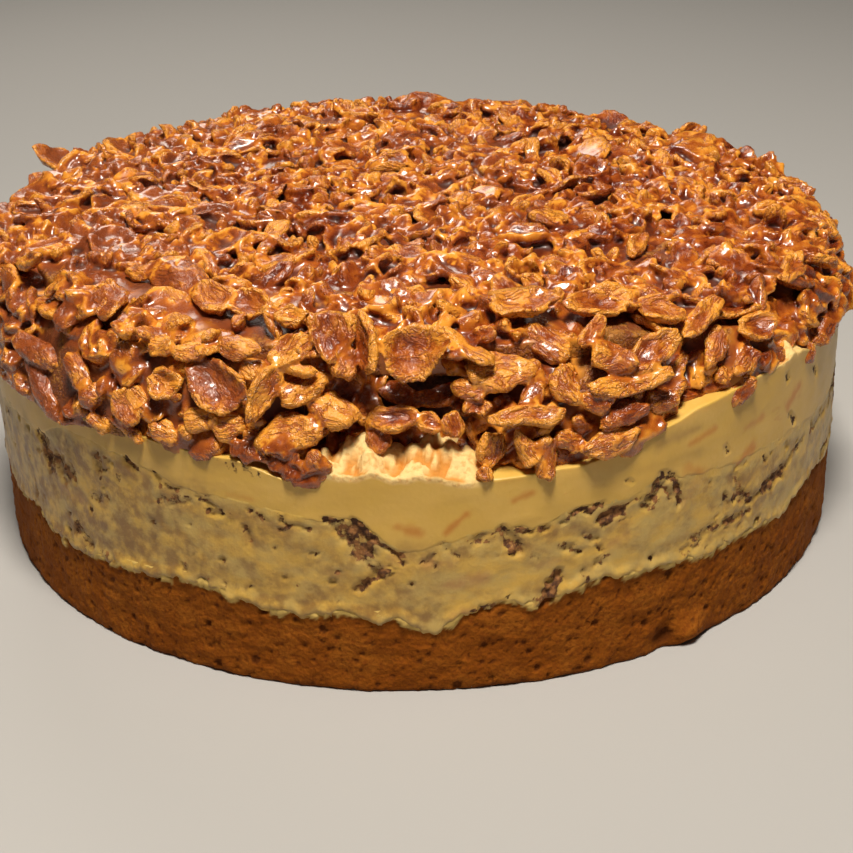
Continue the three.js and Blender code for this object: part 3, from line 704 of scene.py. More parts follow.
def chocolate_flakes_finish(name):
    """Chocolate-coated corn flakes: glossy milk chocolate, amber where the coat is thin, with painted shade deep down
    and in the crevices, painted light and shade on ridges and wrinkles, and a painted paler sheen.
    """
    look = Finish(name, Coat_Roughness=0.12, Coat_IOR=1.5, Specular_IOR_Level=0.6)
    grain = look.grain(0.6, 0.7)
    own = look.mark("own_place", "Vector")
    folds = look.noise(1.9, 3, 0.6, place=own)
    crease = look.span(look.calc("ABSOLUTE", look.calc("SUBTRACT", folds, 0.5)), 0.0, 0.08)
    wrinkle = look.calc("ADD", look.calc("MULTIPLY", crease, 0.5), look.noise(1.0, 3, 0.6, place=own))
    whole = look.calc("SUBTRACT", 1.0, look.mark("between"))
    # Painted shade and light: the wrinkles' valleys and fold lines are darker and their crests lighter, matching the
    # bump
    wrinkle_shading = look.calc("MULTIPLY", look.span(wrinkle, 0.5, 1.15, -0.24, 0.13), whole)
    patchy = look.span(look.noise(6, 2), 0.36, 0.64, -0.2, 0.2)
    # The tone carries painted light at the front and on ridges, and painted shade in grooves and wrinkles
    tone = look.calc("ADD", look.calc("ADD", look.mark("bare"), wrinkle_shading), patchy)
    stops = ((0.0, "chocolate_dark"), (0.3, "chocolate"), (0.62, "flake_toasted"), (1.0, "flake_amber"))
    # Painted sheen: the darker tones are laid over with a paler, duller chocolate
    milky = look.calc("MULTIPLY", look.mark("milky"), look.span(tone, 0.75, 0.35, 0.0, 0.8))
    coated = look.blend(milky, look.ramp(tone, stops), "chocolate_sheen")
    # Painted shade: deep in the heap and in grooves the colour goes towards the near-black crevice colour
    deep = look.span(look.mark("deep"), 0.05, 0.95, 0.0, 0.9)
    coloured = look.blend(deep, coated, "crevice_shade")
    gloss = look.span(grain["Mask"], 0.3, 0.7, 0.18, 0.32)
    roughness = look.calc("ADD", gloss, look.calc("MULTIPLY", deep, 0.4))
    coat = look.span(look.calc("ADD", tone, deep), 0.5, 1.15, 0.4, 0.0)
    relief = look.calc("MULTIPLY", look.span(tone, 0.2, 0.75, 0.4, 0.95), whole)
    normal = look.bump(grain["Height"], relief, 0.22, look.bump(wrinkle, relief, 0.55))
    return look.done(Base_Color=coloured, Roughness=roughness, Coat_Weight=coat, Normal=normal)


FINISHES = {
    "sponge": sponge_finish,
    "crumb_ice_cream": crumb_ice_cream_finish,
    "smooth_ice_cream": smooth_ice_cream_finish,
    "chocolate_flakes": chocolate_flakes_finish,
}


def finish(slot):
    """A slot's material, made once."""
    name = f"{slot}_finish"
    return bpy.data.materials.get(name) or FINISHES[slot](name)


# The layers


class Side:
    """The side of one layer, in rows of points before any relief."""

    def __init__(self, form, angles, bottom, top, rows):
        self.radius = form.radius
        self.angles = angles
        self.heights = bottom + (top - bottom) * np.linspace(0, 1, rows)[:, None]
        self.points = side_points(angles, self.heights, form.radius)
        self.uneven = 0.5 * smooth_noise(self.points, 2.2, 55) + 0.35 * smooth_noise(self.points, 0.9, 56)

    def near(self, table, softness):
        """How strongly the marks of a table cover each point, from 0 to 1, with uneven edges."""
        cover = np.zeros(self.heights.shape)
        for x0, y0, x1, y1, thick, strength in table:
            angle, height = on_side(x0, y0, self.radius)
            other_angle, other_height = on_side(x1, y1, self.radius)
            along = np.array([math.radians(other_angle - angle) * self.radius, other_height - height])
            right = np.radians(apart(self.angles, angle)) * self.radius
            up = self.heights - height
            share = np.clip((right * along[0] + up * along[1]) / max(along @ along, 0.01), 0, 1)
            distance = np.hypot(right - share * along[0], up - share * along[1])
            half = thick / 2 / PIXELS_PER_MM + 0.12
            reach = softness * half + 0.2
            cover = np.maximum(cover, strength * step_up(half * (1 + 1.4 * self.uneven) - distance, -reach, reach))
        return cover

    def piece(self, names, below, relief, above, marks, marks_above=None):
        """The layer: rows of (radius, height) below, its side moved out by the relief, and rows above, with marks."""
        rows = below + [(self.radius + out, heights) for out, heights in zip(relief, self.heights)] + above
        blank = np.zeros(len(below) * len(self.angles))
        plain = np.zeros(len(above) * len(self.angles))
        values = {}
        for mark, value in marks.items():
            over = (marks_above or {}).get(mark, plain)
            values[mark] = np.concatenate([blank, value.ravel(), np.ravel(over), [0, 0]])
        new_piece(*names, *ring_skin(rows, self.angles), values)


def unseen(angles):
    """1 where the picture doesn't show the side, 0 where it does."""
    return 1 - step_up(72 - np.abs(apart(angles, FRONT)), 0, 12)


def sponge_swell(points):
    """The waves that the sponge and the ice cream at its seam share."""
    return 0.3 * rough_noise(points, 5, 3) + 0.2 * rough_noise(points, 1.6, 4, 3)


def build_sponge(sizes):
    """The sponge, with pores, a crumbly foot and smears of ice cream pressed over its top edge."""
    form = CakeForm(sizes)
    angles = even_angles(form.radius, 1.15 * form.step)
    seam = form.sponge_top(angles)
    side = Side(form, angles, 0.4, seam + SEAM_OVERLAP, int(23 / form.step))
    points, heights = side.points, side.heights
    distance, own = grains(points, 4.6, 11)
    big = step_up(0.26 * own - distance, -0.06, 0.05) * (own > 0.7)
    distance, own = grains(points, 1.8, 12)
    small = step_up(0.42 * own - distance, -0.1, 0.08) * (own > 0.68)
    foot_near = hump(heights, 3.4, 3)
    crumb = 2.4 * swell(angles, -57, 2.6) * foot_near
    dent = 2.4 * swell(angles, -60.2, 1.5) * foot_near
    above = heights - seam
    spread = 0.9 * smooth_noise(points, 3.4, 21) + 0.5 * smooth_noise(points, 1.3, 22)
    smear = step_up(0.5 * above + 0.8 + spread, 0.25, 0.55)
    spot = hump(apart(angles, -140.3) * 2, 0, 1.6) * hump(heights, 19, 1.5)
    smear = np.maximum(smear, step_up(spot, 0.3, 0.6))
    dark = side.near(DARK_CRUMBS, 0.3)
    tuck = 0.5 * step_up(above, 0, 1)
    foot_chips = step_up(1.2 - heights, 0, 1) * (0.5 + 0.5 * smooth_noise(points, 2.2, 30))
    out = sponge_swell(points) - 0.6 * big - 0.3 * small + crumb - dent + 0.4 * smear - tuck - 0.6 * foot_chips
    out -= 0.5 + 0.8 * dark
    below = [(form.radius - 4, 0), (form.radius - 1.6 - 0.4 * foot_chips[0], 0)]
    over = [(form.radius - 2.5, seam + SEAM_OVERLAP), (form.radius - SEAM_DEPTH, form.sponge_mean)]
    foot = np.exp(-heights / 2.2) * (0.3 + 0.7 * step_up(smooth_noise(points, 7, 33), -0.4, 0.6))
    # Painted shadow: the dent at the foot takes the dark foot colour
    foot = np.maximum(foot, 1.2 * dent / 2.4)
    # The pores carry painted shade; the foot mark carries the darker burnt foot, dark crumbs and the dent's painted
    # shadow
    marks = {
        "pore": np.maximum(big, 0.7 * small) * (1 - smear),
        "smear": smear * (1 - dark),
        "foot": np.maximum(foot * (1 - smear), dark),
    }
    side.piece(("sponge", "sponge", "sponge_base"), below, out, over, marks)


def build_crumb_cream(sizes):
    """The crumb-filled ice cream, with ragged fingers over the sponge, hollows, crumbs and veiled flakes."""
    form = CakeForm(sizes)
    angles = even_angles(form.radius, form.step)
    edge = side_points(angles, 0 * angles, form.radius)
    back = unseen(angles)
    fingers = (0.7 + back) * smooth_noise(edge, 6.5, 41)
    fingers = fingers + 1.1 * smooth_noise(edge, 2.6, 42) + 0.5 * smooth_noise(edge, 1.1, 43)
    bottom = form.sponge_top(angles) - 0.4 + fingers
    top = form.crumb_top(angles) + 0.5 * smooth_noise(edge, 4, 44)
    side = Side(form, angles, bottom - 0.9, top + 2.0, int(27 / form.step))
    points, heights = side.points, side.heights
    seam_near = hump(heights - top, -2.5, 4)
    sponge_near = hump(heights - bottom, 2, 3)
    squat = points * np.array([1, 1, 1.6])
    chance = rough_noise(squat, 7, 45, 4, 0.6) + 0.34 * seam_near + 0.14 * sponge_near
    # Hollows on the back are recessed and painted with the dark crumb colour as shade
    hollow_shade = back * step_up(chance - 0.66, 0, 0.22)
    specks = step_up(rough_noise(points, 2.4, 54, 3) + 0.25 * seam_near, 0.62, 0.78) * step_up(chance, 0.0, 0.5)
    dark = np.maximum(np.maximum(side.near(DARK_CRUMBS, 0.3), hollow_shade), 0.7 * specks)
    lumps, own = grains(points, 2.3, 46)
    cells, _ = grains(squat + 1.6 * smooth_noise(points, 3, 55)[..., None], 7, 56)
    mottled = step_up(rough_noise(squat, 12, 57, 3), -0.35, 0.35)
    pebbles = 0.7 * mottled * step_up(0.6 - cells, 0, 0.3) * step_up(top - heights, 0, 3)
    between = mottled * step_up(cells, 0.36, 0.6) * step_up(top - heights, 0.5, 3)
    crumb_relief = 1.1 * step_up(0.66 - lumps, 0, 0.4) * (own > 0.25)
    waves = 0.4 * rough_noise(points, 16, 65, 3) + 0.16 * rough_noise(points, 3, 48, 3)
    under = 0.65 * step_up(bottom - heights, -0.4, 0.9)
    tuck = 0.5 * step_up(heights - top, 0.7, 1.7)
    low = step_up(3.2 - (heights - bottom), 0, 2.6)
    out = (1 - low) * (-0.44 + 0.7 * waves + 0.16 * pebbles) + low * (sponge_swell(points) + 0.02)
    out += dark * (crumb_relief - 1) - under - tuck
    below = [(form.radius - SEAM_DEPTH, form.sponge_mean + SEAM_GAP), (form.radius - 2.6, bottom - 0.4)]
    above = [(form.radius - 2.5, top + 2.0), (form.radius - SEAM_DEPTH, form.crumb_mean)]
    # More veil, so darker, towards the left side round -140 degrees and on the back
    shade = swell(angles, -140, 26)
    cloud = step_up(rough_noise(squat, 9, 49, 4, 0.5) + 0.9 * shade, -0.1, 0.6)
    cloud = cloud * step_up(top - heights, -0.5, 3) * (0.75 + 0.45 * np.maximum(0.7 * back, shade))
    tan = 0.8 * back * step_up(rough_noise(squat, 6, 50, 3), 0.5, 0.8)
    smears = np.maximum(side.near(GREY_SMEARS, 1.4), 0.75 * cloud)
    marks = {
        "crumb": dark * np.where(own > 0.3, 1, 0.45),
        "veil": np.maximum(smears, np.maximum(0.7 * side.near(DARK_CRUMBS, 2.2), 0.75 * between)),
        "tan": np.maximum(side.near(TAN_SMEARS, 1.0), tan),
    }
    side.piece(("crumb_cream", "crumb_ice_cream", "chunky_cream"), below, out, above, marks)


def build_smooth_cream(sizes):
    """The smooth ice cream, with a crisp rim, a torn ledge in the break and a bare ledge on the right."""
    form = CakeForm(sizes)
    angles = even_angles(form.radius, form.step)
    edge = side_points(angles, 0 * angles, form.radius)
    bottom = form.crumb_top(angles) + 0.6 * smooth_noise(edge, 4, 44) + 0.35 * smooth_noise(edge, 1.5, 61)
    torn_here = np.maximum(step_up(11.5 - np.abs(apart(angles, -93.5)), 0, 3), 0.9 * swell(angles, LEDGE_ANGLE, 6))
    torn_edge = 0.8 * smooth_noise(edge, 4, 63) + 0.5 * smooth_noise(edge, 1.5, 64)
    nicks = 0.4 * smooth_noise(edge, 5, 62) + torn_here * torn_edge
    top = form.cream_top(angles) + nicks + 0.9 * swell(angles, -38.5, 5)
    side = Side(form, angles, bottom - 1.0, top - 0.12, int(23 / form.step))
    points, heights = side.points, side.heights
    scraped = points * np.array([1, 1, 3.5])
    waves = 0.4 * rough_noise(points, 16, 65, 3) + 0.05 * rough_noise(scraped, 8, 66, 3)
    dark = side.near(DARK_CRUMBS, 0.3)
    under = 0.35 * step_up(bottom - heights, -0.1, 1.0)
    out = -0.4 + 0.7 * waves - 0.6 * dark - under
    below = [(form.radius - SEAM_DEPTH, form.crumb_mean + SEAM_GAP), (form.radius - 2.5, bottom - 0.5)]
    above, ledge_pit_shade = [], []
    rim_radius = form.radius + out[-1]
    humps = 5.2 * swell(angles, -98, 4.0) + 5.4 * swell(angles, -86.3, 4.4) + 1.5 * swell(angles, -92, 4)
    for share in np.linspace(0, 1, int((form.radius - LEDGE_INNER_RADIUS) / (1.5 * form.step))):
        radius = rim_radius - 0.15 + (LEDGE_INNER_RADIUS - rim_radius + 0.15) * share
        spots = side_points(angles, 0 * radius, radius)
        pits = step_up(rough_noise(spots, 4.5, 71, 3), 0.15, 0.5)
        crumble = 1.6 * rough_noise(spots, 3.6, 68, 3) + 2.4 * (0.3 - grains(spots, 3.0, 69)[0] ** 2) - 1.6 * pits
        ledge = 2.6 * swell(angles, -39, 6) * step_up(share, 0, 0.5)
        rise = humps * hump(radius, 107, 4.6) + ledge
        level = top + (form.cream_mean - top) * step_up(share, 0.45, 1)
        above.append((radius, level + rise + crumble * torn_here * step_up(share, 0, 0.16)))
        # The torn ledge's low parts are marked for painted shade
        ledge_pit_shade.append(torn_here * step_up(-crumble, 0.7, 1.6))
    # Dark crumbs and painted shade on the cream under the heap's hem, left of the break
    hem_crumbs_and_shade = step_up(1.5 - np.hypot(apart(angles, -107.5) / 5.5, (heights - 58) / 4.4), 0, 1.2)
    hem_crumbs_and_shade = 0.8 * hem_crumbs_and_shade * step_up(rough_noise(points, 2.2, 72, 4, 0.6), -0.2, 0.6)
    marks = {
        "torn": step_up(heights - top, -1.6, -0.4) * torn_here,
        "crumb": np.maximum(dark, hem_crumbs_and_shade),
        "veil": 0.8 * side.near(GREY_SMEARS, 1.4),
        "streak": 1.6 * side.near(ORANGE_STREAKS, 1.2),
    }
    marks_above = {"torn": [torn_here] * len(above), "streak": ledge_pit_shade}
    side.piece(("smooth_cream_body", "smooth_ice_cream", "smooth_cream"), below, out, above, marks, marks_above)


# The heap of corn flakes


def chance_flake(draws):
    """The size and shape of one flake by chance."""
    length = 11.5 + 8.5 * next(draws) ** 1.2
    width = length * (0.6 + 0.3 * next(draws))
    cup = 3.4 * next(draws) - 0.9
    fold = 2.4 * next(draws) ** 2
    phase = 2 * math.pi * next(draws)
    return {"length": length, "width": width, "cup": cup, "fold": fold, "phase": phase, "spin": 360 * next(draws)}


def named_flakes(table):
    """The flakes of a table, with their values by name."""
    flakes = [{**dict(zip(FLAKE_VALUES, row)), "phase": 1.9 * i} for i, row in enumerate(table)]
    return [{**flake, "crumple": 0.6, "thick": 2.1} for flake in flakes]


def side_share(height):
    """The share of the way from the heap's hem up to its shoulder."""
    return (height - HEM_HEIGHT) / SIDE_HEIGHT


def on_heap(form, x, y, depth):
    """The angle, radius and height where a spot of the picture falls on the heap, some depth inside its outside."""
    start, ray = picture_ray(x, y)
    for distance in np.arange(280, 620, 0.25):
        spot = start + ray * distance
        angle = math.degrees(math.atan2(spot.y, spot.x))
        radius = math.hypot(spot.x, spot.y)
        if form.crown(spot.x, spot.y) - spot.z > depth and side_reach(angle, side_share(spot.z)) - radius > depth:
            return angle, radius, spot.z
    raise ValueError(f"the spot {x}, {y} of the picture misses the heap")


def front_flakes(form):
    """The flakes placed by the picture, moved from their place in it to the cake."""
    table = []
    for x, y, radius, *rest in FRONT_FLAKES:
        angle, height = on_side(x, y, radius)
        table.append((angle, radius, height, *rest))
    table += [(*on_heap(form, x, y, depth), *rest) for x, y, depth, *rest in OUTER_FLAKES]
    for i, (x, y) in enumerate(HEM_CRUMBS):
        angle, height = on_side(x, y, HEAP_RADIUS)
        length = 4 + 1.4 * math.sin(2.3 * i)
        thin = 0.1 + 0.15 * math.sin(4.1 * i)
        table.append((angle, 113.6, height, length, 0.8 * length, -0.8, 0.2, -60, 70, 0, 50 * i, thin))
    return [{**flake, "thin": min(row[-1] + 0.14, 1)} for flake, row in zip(named_flakes(table), table)]


def flake_place(flake):
    return np.array([flake["radius"] * cosine(flake["angle"]), flake["radius"] * sine(flake["angle"]), flake["height"]])


def in_break(flake):
    across = abs(apart(flake["angle"], BREAK_ANGLE)) / BREAK_HALF_WIDTH
    return across < 0.9 and flake["radius"] > HEAP_RADIUS - BREAK_DEPTH * (1 - 0.3 * across)


def clear_of(flake, others):
    """Whether a flake keeps clear of the broken place and of the ones that were placed singly."""
    place = flake_place(flake)
    near = (np.linalg.norm(flake_place(other) - place) <= 0.42 * other["length"] for other in others)
    return not in_break(flake) and not any(near)


def scattered_flakes(form):
    """Flakes spread over the top as seeds in a sunflower, then rows down the side, as in the solid heap."""
    draws = seeded_draws(LAYOUT_SEED)
    top = []
    for i in range(TOP_FLAKES):
        flake = chance_flake(draws)
        radius = TOP_REACH * math.sqrt((i + 0.5) / TOP_FLAKES) + 4 * (next(draws) - 0.5)
        angle = i * GOLDEN_ANGLE + 4 * (next(draws) - 0.5)
        flake.update(radius=radius, angle=angle, tilt=4 + 30 * next(draws) ** 1.5, lean=360 * next(draws))
        tip = (flake["length"] + flake["width"]) / 4 * sine(flake["tilt"]) + abs(flake["cup"]) / 2 - 0.5
        sink = max(FLAKE_SINK, tip) + 2.2 * (next(draws) - 0.5)
        top.append({**flake, "height": form.crown_at(radius, angle) - sink})
    side = []
    for count, radius, share, tilt, turn in RIM_ROWS:
        for i in range(count):
            flake = chance_flake(draws)
            angle = 360 * (i + 0.6 * next(draws)) / count + turn
            flake.update(angle=angle, radius=radius + 2 * (next(draws) - 0.5))
            flake.update(tilt=tilt + 26 * (next(draws) - 0.5), lean=50 * (next(draws) - 0.5))
            hem = form.cream_top(angle)
            rise = (form.crown_at(HEAP_RADIUS, angle) - hem) * share
            side.append({**flake, "height": hem + rise + 3 * (next(draws) - 0.5)})
    return top, side


def turn_matrices(flakes):
    """Each flake's rotation: its spin, then its tilt towards its lean."""
    matrices = []
    for flake in flakes:
        towards = math.radians(flake["angle"] + flake["lean"])
        hinge = Vector((-math.sin(towards), math.cos(towards), 0))
        turn = Matrix.Rotation(math.radians(flake["tilt"]), 3, hinge)
        spin = Matrix.Rotation(math.radians(flake["angle"] + flake["spin"]), 3, "Z")
        matrices.append(np.array(turn @ spin))
    return np.array(matrices)


def flake_field(flakes):
    """All flakes: points for each flake, their quads and tris, and each point's reach from 0 to 1."""
    rings = len(FLAKE_REACHES) - 2
    repeats = [1, *[FLAKE_SECTORS] * rings, 1]
    rho = np.repeat(FLAKE_REACHES, repeats)
    side = np.repeat(FLAKE_SIDES, repeats)
    around = np.arange(FLAKE_SECTORS) * 2 * math.pi / FLAKE_SECTORS
    phi = np.concatenate([[0], np.tile(around, rings), [0]])
    keys = ("phase", "length", "width", "cup", "fold", "roll", "crumple", "thick")
    phase, length, width, cup, fold, roll, crumple, thick = (
        np.array([flake[key] for flake in flakes])[:, None] for key in keys
    )
    outline = 1 + 0.08 * np.sin(2 * phi + phase) + 0.08 * np.sin(3 * phi + 2.3 * phase)
    outline = outline + 0.05 * np.sin(5 * phi + 4.1 * phase) + 0.035 * np.sin(9 * phi + 7.3 * phase)
    x = rho * outline * np.cos(phi) * length / 2
    y = rho * outline * np.sin(phi) * width / 2
    bowl = cup * rho**2 * (0.65 + 0.35 * np.cos(2 * phi + 1.7 * phase))
    turned = fold * np.maximum(0, rho * np.cos(phi)) ** 3
    own = np.arange(len(flakes))[:, None] * 37.0 + 0 * x
    sheet = np.stack([x, y, own], axis=-1)
    crumpled = crumple * smooth_noise(sheet, 5.5, 80) + 0.45 * smooth_noise(sheet, 3.0, 81)
    lip = 1 + 0.35 * hump(rho, 0.86, 0.12)
    half = 0.5 * thick * lip * np.sqrt(np.maximum(0, 1 - rho**8))
    off = bowl + turned - 0.4 * cup + crumpled + side * half
    curl = np.radians(roll) * y / (width / 2)
    across = y * np.sinc(curl / np.pi) - off * np.sin(curl)
    rise = y * 0.5 * curl * np.sinc(curl / (2 * np.pi)) ** 2 + off * np.cos(curl)
    local = np.stack([x, across, rise], axis=-1)
    centre = np.array([flake_place(flake) for flake in flakes])
    points = np.einsum("nij,nmj->nmi", turn_matrices(flakes), local) + centre[:, None, :]
    per_flake = rings * FLAKE_SECTORS + 2
    shift = (np.arange(len(flakes)) * per_flake)[:, None, None]
    quads = ring_faces(rings, FLAKE_SECTORS, 1)[:, ::-1] + shift
    near_end = fan_faces(0, 1, FLAKE_SECTORS, False)
    far_end = fan_faces(per_flake - 1, 1 + (rings - 1) * FLAKE_SECTORS, FLAKE_SECTORS, True)
    tris = np.concatenate([near_end, far_end]) + shift
    return points, quads.reshape(-1, 4), tris.reshape(-1, 3), np.broadcast_to(rho, x.shape)


def chance_curl(draws, size):
    """The size and shape of one smaller flake: flat, curled, a narrow strip or a lump."""
    kind = next(draws)
    length = size[0] + (size[1] - size[0]) * next(draws) ** 1.3
    width = length * (0.5 + 0.35 * next(draws))
    roll = 60 * next(draws) - 25
    thick = 1.7 + 0.6 * next(draws)
    crumple = 0.7 + 0.7 * next(draws)
    if kind < 0.5:
        roll = (50 + 90 * next(draws)) * (1 if next(draws) < 0.5 else -0.8)
    elif kind < 0.68:
        width = length * (0.3 + 0.18 * next(draws))
        thick += 0.4
    elif kind < 0.8:
        length *= 0.62
        width = length * 0.85
        thick, crumple, roll = 3.2, 1.4, -60
    flake = {"length": length, "width": width, "roll": roll, "thick": thick, "crumple": crumple}
    flake.update(cup=1.6 * next(draws) - 0.7, fold=2.2 * next(draws) ** 2)
    flake.update(phase=2 * math.pi * next(draws), spin=360 * next(draws))
    return flake


def thrown_flakes(form, size, reach, count, seed, depth, steep):
    """Smaller flakes thrown over the top between two radii, at all angles, some depth below the dome."""
    draws = seeded_draws(seed)
    flakes = []
    while len(flakes) < count:
        angle = 360 * next(draws)
        radius = math.sqrt(reach[0] ** 2 + (reach[1] ** 2 - reach[0] ** 2) * next(draws))
        flake = {**chance_curl(draws, size), "angle": angle, "radius": radius}
        flake.update(tilt=steep * next(draws) ** 1.2, lean=360 * next(draws))
        lie = depth[0] + (depth[1] - depth[0]) * next(draws)
        dip = 0.28 * flake["length"] * sine(flake["tilt"])
        flake["height"] = form.crown_at(radius, angle) - max(lie, dip)
        if not in_break(flake):
            flakes.append(flake)
    return flakes


def break_bay(angles):
    """How far in the broken place reaches."""
    return BREAK_DEPTH * swell(angles, BREAK_ANGLE, BREAK_HALF_WIDTH)


def side_reach(angle, share):
    """How far out the flakes of the side reach at a share of the way from the hem to the shoulder."""
    ledge = 6.5 * swell(angle, -56, 5) + 6.0 * swell(angle, LEDGE_ANGLE, 4.5)
    return 116.6 - 1.25 * break_bay(angle) - ledge - 6.5 * np.maximum(share, 0) ** 2.2


def pressed_flakes(form, size, count, seed):
    """Smaller flakes stacked up the side of the heap, lying more or less flat with their edges out."""
    draws = seeded_draws(seed)
    flakes = []
    for _ in range(count):
        angle = 360 * next(draws)
        flake = {**chance_curl(draws, size), "angle": angle}
        flake.update(tilt=20 + 62 * next(draws), lean=100 * (next(draws) - 0.5))
        hem = form.cream_top(angle) + 1.5
        shoulder = form.crown_at(HEAP_RADIUS, angle) - 4
        share = next(draws) ** 1.25
        flake["height"] = hem + (shoulder - hem) * share
        reach = side_reach(angle, share) - 2.2 * next(draws)
        flake["spin"] = 90 + 120 * (next(draws) - 0.5)
        flake["radius"] = reach - 0.45 * flake["width"] * cosine(flake["tilt"])
        flakes.append(flake)
    return flakes


def hem_lumps(form, count, seed):
    """Smooth lumps of chocolate-covered flake along the heap's hem, over the edge of the cream."""
    draws = seeded_draws(seed)
    lumps = []
    for i in range(count):
        angle = 360 * (i + next(draws)) / count
        length = 5 + 7 * next(draws) ** 1.5
        lump = {"angle": angle, "length": length, "width": length * (0.55 + 0.3 * next(draws))}
        lump.update(thick=2.8 + 1.2 * next(draws), crumple=0.3, cup=-0.8, fold=0.6 * next(draws), roll=-50)
        lump["thin"] = 0.15 + 0.4 * next(draws) ** 2
        lump.update(phase=2 * math.pi * next(draws), spin=90 + 50 * (next(draws) - 0.5))
        lump.update(tilt=50 + 40 * next(draws), lean=30 * (next(draws) - 0.5))
        lump["radius"] = side_reach(angle, 0) - 2.6 - 1.0 * next(draws)
        lump["height"] = form.cream_top(angle) - 0.2 + 2.8 * next(draws)
        if not in_break(lump):
            lumps.append(lump)
    return lumps


def curled(flake):
    """A flake of the solid heap with a curl and a crumple of its own."""
    return {**flake, "roll": 55 * math.sin(3.1 * flake["phase"]) + 20, "crumple": 0.8, "thick": 2.0}


def laid_back(flake):
    """A side flake of the solid heap laid flatter, its outer tip within the heap's reach."""
    tilt = 0.5 * flake["tilt"]
    reach = side_reach(flake["angle"], side_share(flake["height"]))
    radius = min(flake["radius"], reach - 0.4 * flake["length"] * cosine(tilt))
    return {**curled(flake), "tilt": tilt, "radius": radius, "length": 0.85 * flake["length"]}


def heap_flakes(form):
    """The solid heap's flakes and those that stand out: on the top and on the side."""
    standing = named_flakes(STANDING_FLAKES)
    placed = standing + front_flakes(form)
    top, side = ([flake for flake in some if clear_of(flake, placed)] for some in scattered_flakes(form))
    return standing + [curled(flake) for flake in top], [laid_back(flake) for flake in side]


def cleared(form, flakes):
    """Flakes without those that would hide the ones placed at the front from the camera."""
    placed = [(*in_picture(flake_place(flake)), 0.34 * flake["length"]) for flake in front_flakes(form)]
    kept = []
    for flake in flakes:
        x, y, distance = in_picture(flake_place(flake))
        own = 0.24 * flake["length"]
        hiding = (
            math.hypot(x - seen_x, y - seen_y) / PIXELS_PER_MM < reach + own and distance < seen + 1.5 + 0.5 * reach
            for seen_x, seen_y, seen, reach in placed
        )
        if not any(hiding):
            kept.append(flake)
    return kept


def dome_core(form, inner, outer, foot):
    """A closed ring or disc of pooled chocolate under the flakes, its top a little below the dome and lumpy."""
    angles = even_angles(outer, CORE_STEP)
    bay = break_bay(angles) * step_up(outer, 100, 106)
    rows = [(inner or outer * 0.5, foot), (outer - bay, foot)]
    steps = max(int((outer - inner) / CORE_STEP), 3)
    for i in range(steps):
        radius = (outer - bay) + (max(inner, 2) - outer + bay) * i / (steps - 1)
        spots = side_points(angles, 0 * angles, radius)
        rows.append((radius, form.crown_at(radius, angles) - 3.5 + 1.5 * rough_noise(spots, 13, 85, 2)))
    return (ring_loop if inner else ring_skin)(rows, angles)


def side_core(form):
    """A closed ring of pooled chocolate behind the flakes of the side."""
    angles = even_angles(HEAP_RADIUS, CORE_STEP)
    bay = break_bay(angles)
    hem = form.cream_top(angles)
    shoulder = form.crown_at(HEAP_RADIUS, angles)
    rows = [(SIDE_CORE_INNER, 56)]
    for share in np.linspace(0, 1, 12):
        height = hem - 2 + (shoulder - 5 - hem + 2) * share
        spots = side_points(angles, height, HEAP_RADIUS)
        out = side_reach(angles, share) - 1.8 - 0.9 * share - 0.3 * bay + 1.1 * rough_noise(spots, 9, 86, 2)
        rows.append((out, height))
    return ring_loop(rows + [(SIDE_CORE_INNER, 76)], angles)


def mesh_arrays(mesh):
    """A mesh's points in millimetres and its triangles."""
    mesh.calc_loop_triangles()
    points = np.empty(len(mesh.vertices) * 3)
    mesh.vertices.foreach_get("co", points)
    tris = np.empty(len(mesh.loop_triangles) * 3, dtype=np.int32)
    mesh.loop_triangles.foreach_get("vertices", tris)
    return points.reshape(-1, 3) / MM, tris.reshape(-1, 3)


def after_modifier(points, faces, kind, **settings):
    """Points and triangles after one modifier."""
    draft = bpy.data.meshes.new("draft")
    draft.from_pydata((points * MM).tolist(), [], faces)
    body = bpy.data.objects.new("draft", draft)
    bpy.context.scene.collection.objects.link(body)
    modifier = body.modifiers.new("change", kind)
    for key, value in settings.items():
        setattr(modifier, key, value)
    changed = bpy.data.meshes.new_from_object(body.evaluated_get(bpy.context.evaluated_depsgraph_get()))
    result = mesh_arrays(changed)
    bpy.data.objects.remove(body)
    bpy.data.meshes.remove(draft)
    bpy.data.meshes.remove(changed)
    return result


def outer_skins(points, tris):
    """Only the outer skins, without closed pockets inside them or loose scraps."""
    label = np.arange(len(points))
    edges = np.concatenate([tris[:, [0, 1]], tris[:, [1, 2]]])
    while True:
        lowest = np.minimum(label[edges[:, 0]], label[edges[:, 1]])
        previous = label.copy()
        np.minimum.at(label, edges[:, 0], lowest)
        np.minimum.at(label, edges[:, 1], lowest)
        label = label[label]
        if np.array_equal(label, previous):
            break
    owner = label[tris[:, 0]]
    first, second, third = (points[tris[:, k]] for k in range(3))
    parts = np.sum(first * np.cross(second, third), axis=1) / 6
    volume = np.bincount(owner, parts, len(points))
    kept = tris[volume[owner] > 0.01 * volume.max()]
    used, renumbered = np.unique(kept, return_inverse=True)
    return points[used], renumbered.reshape(-1, 3)


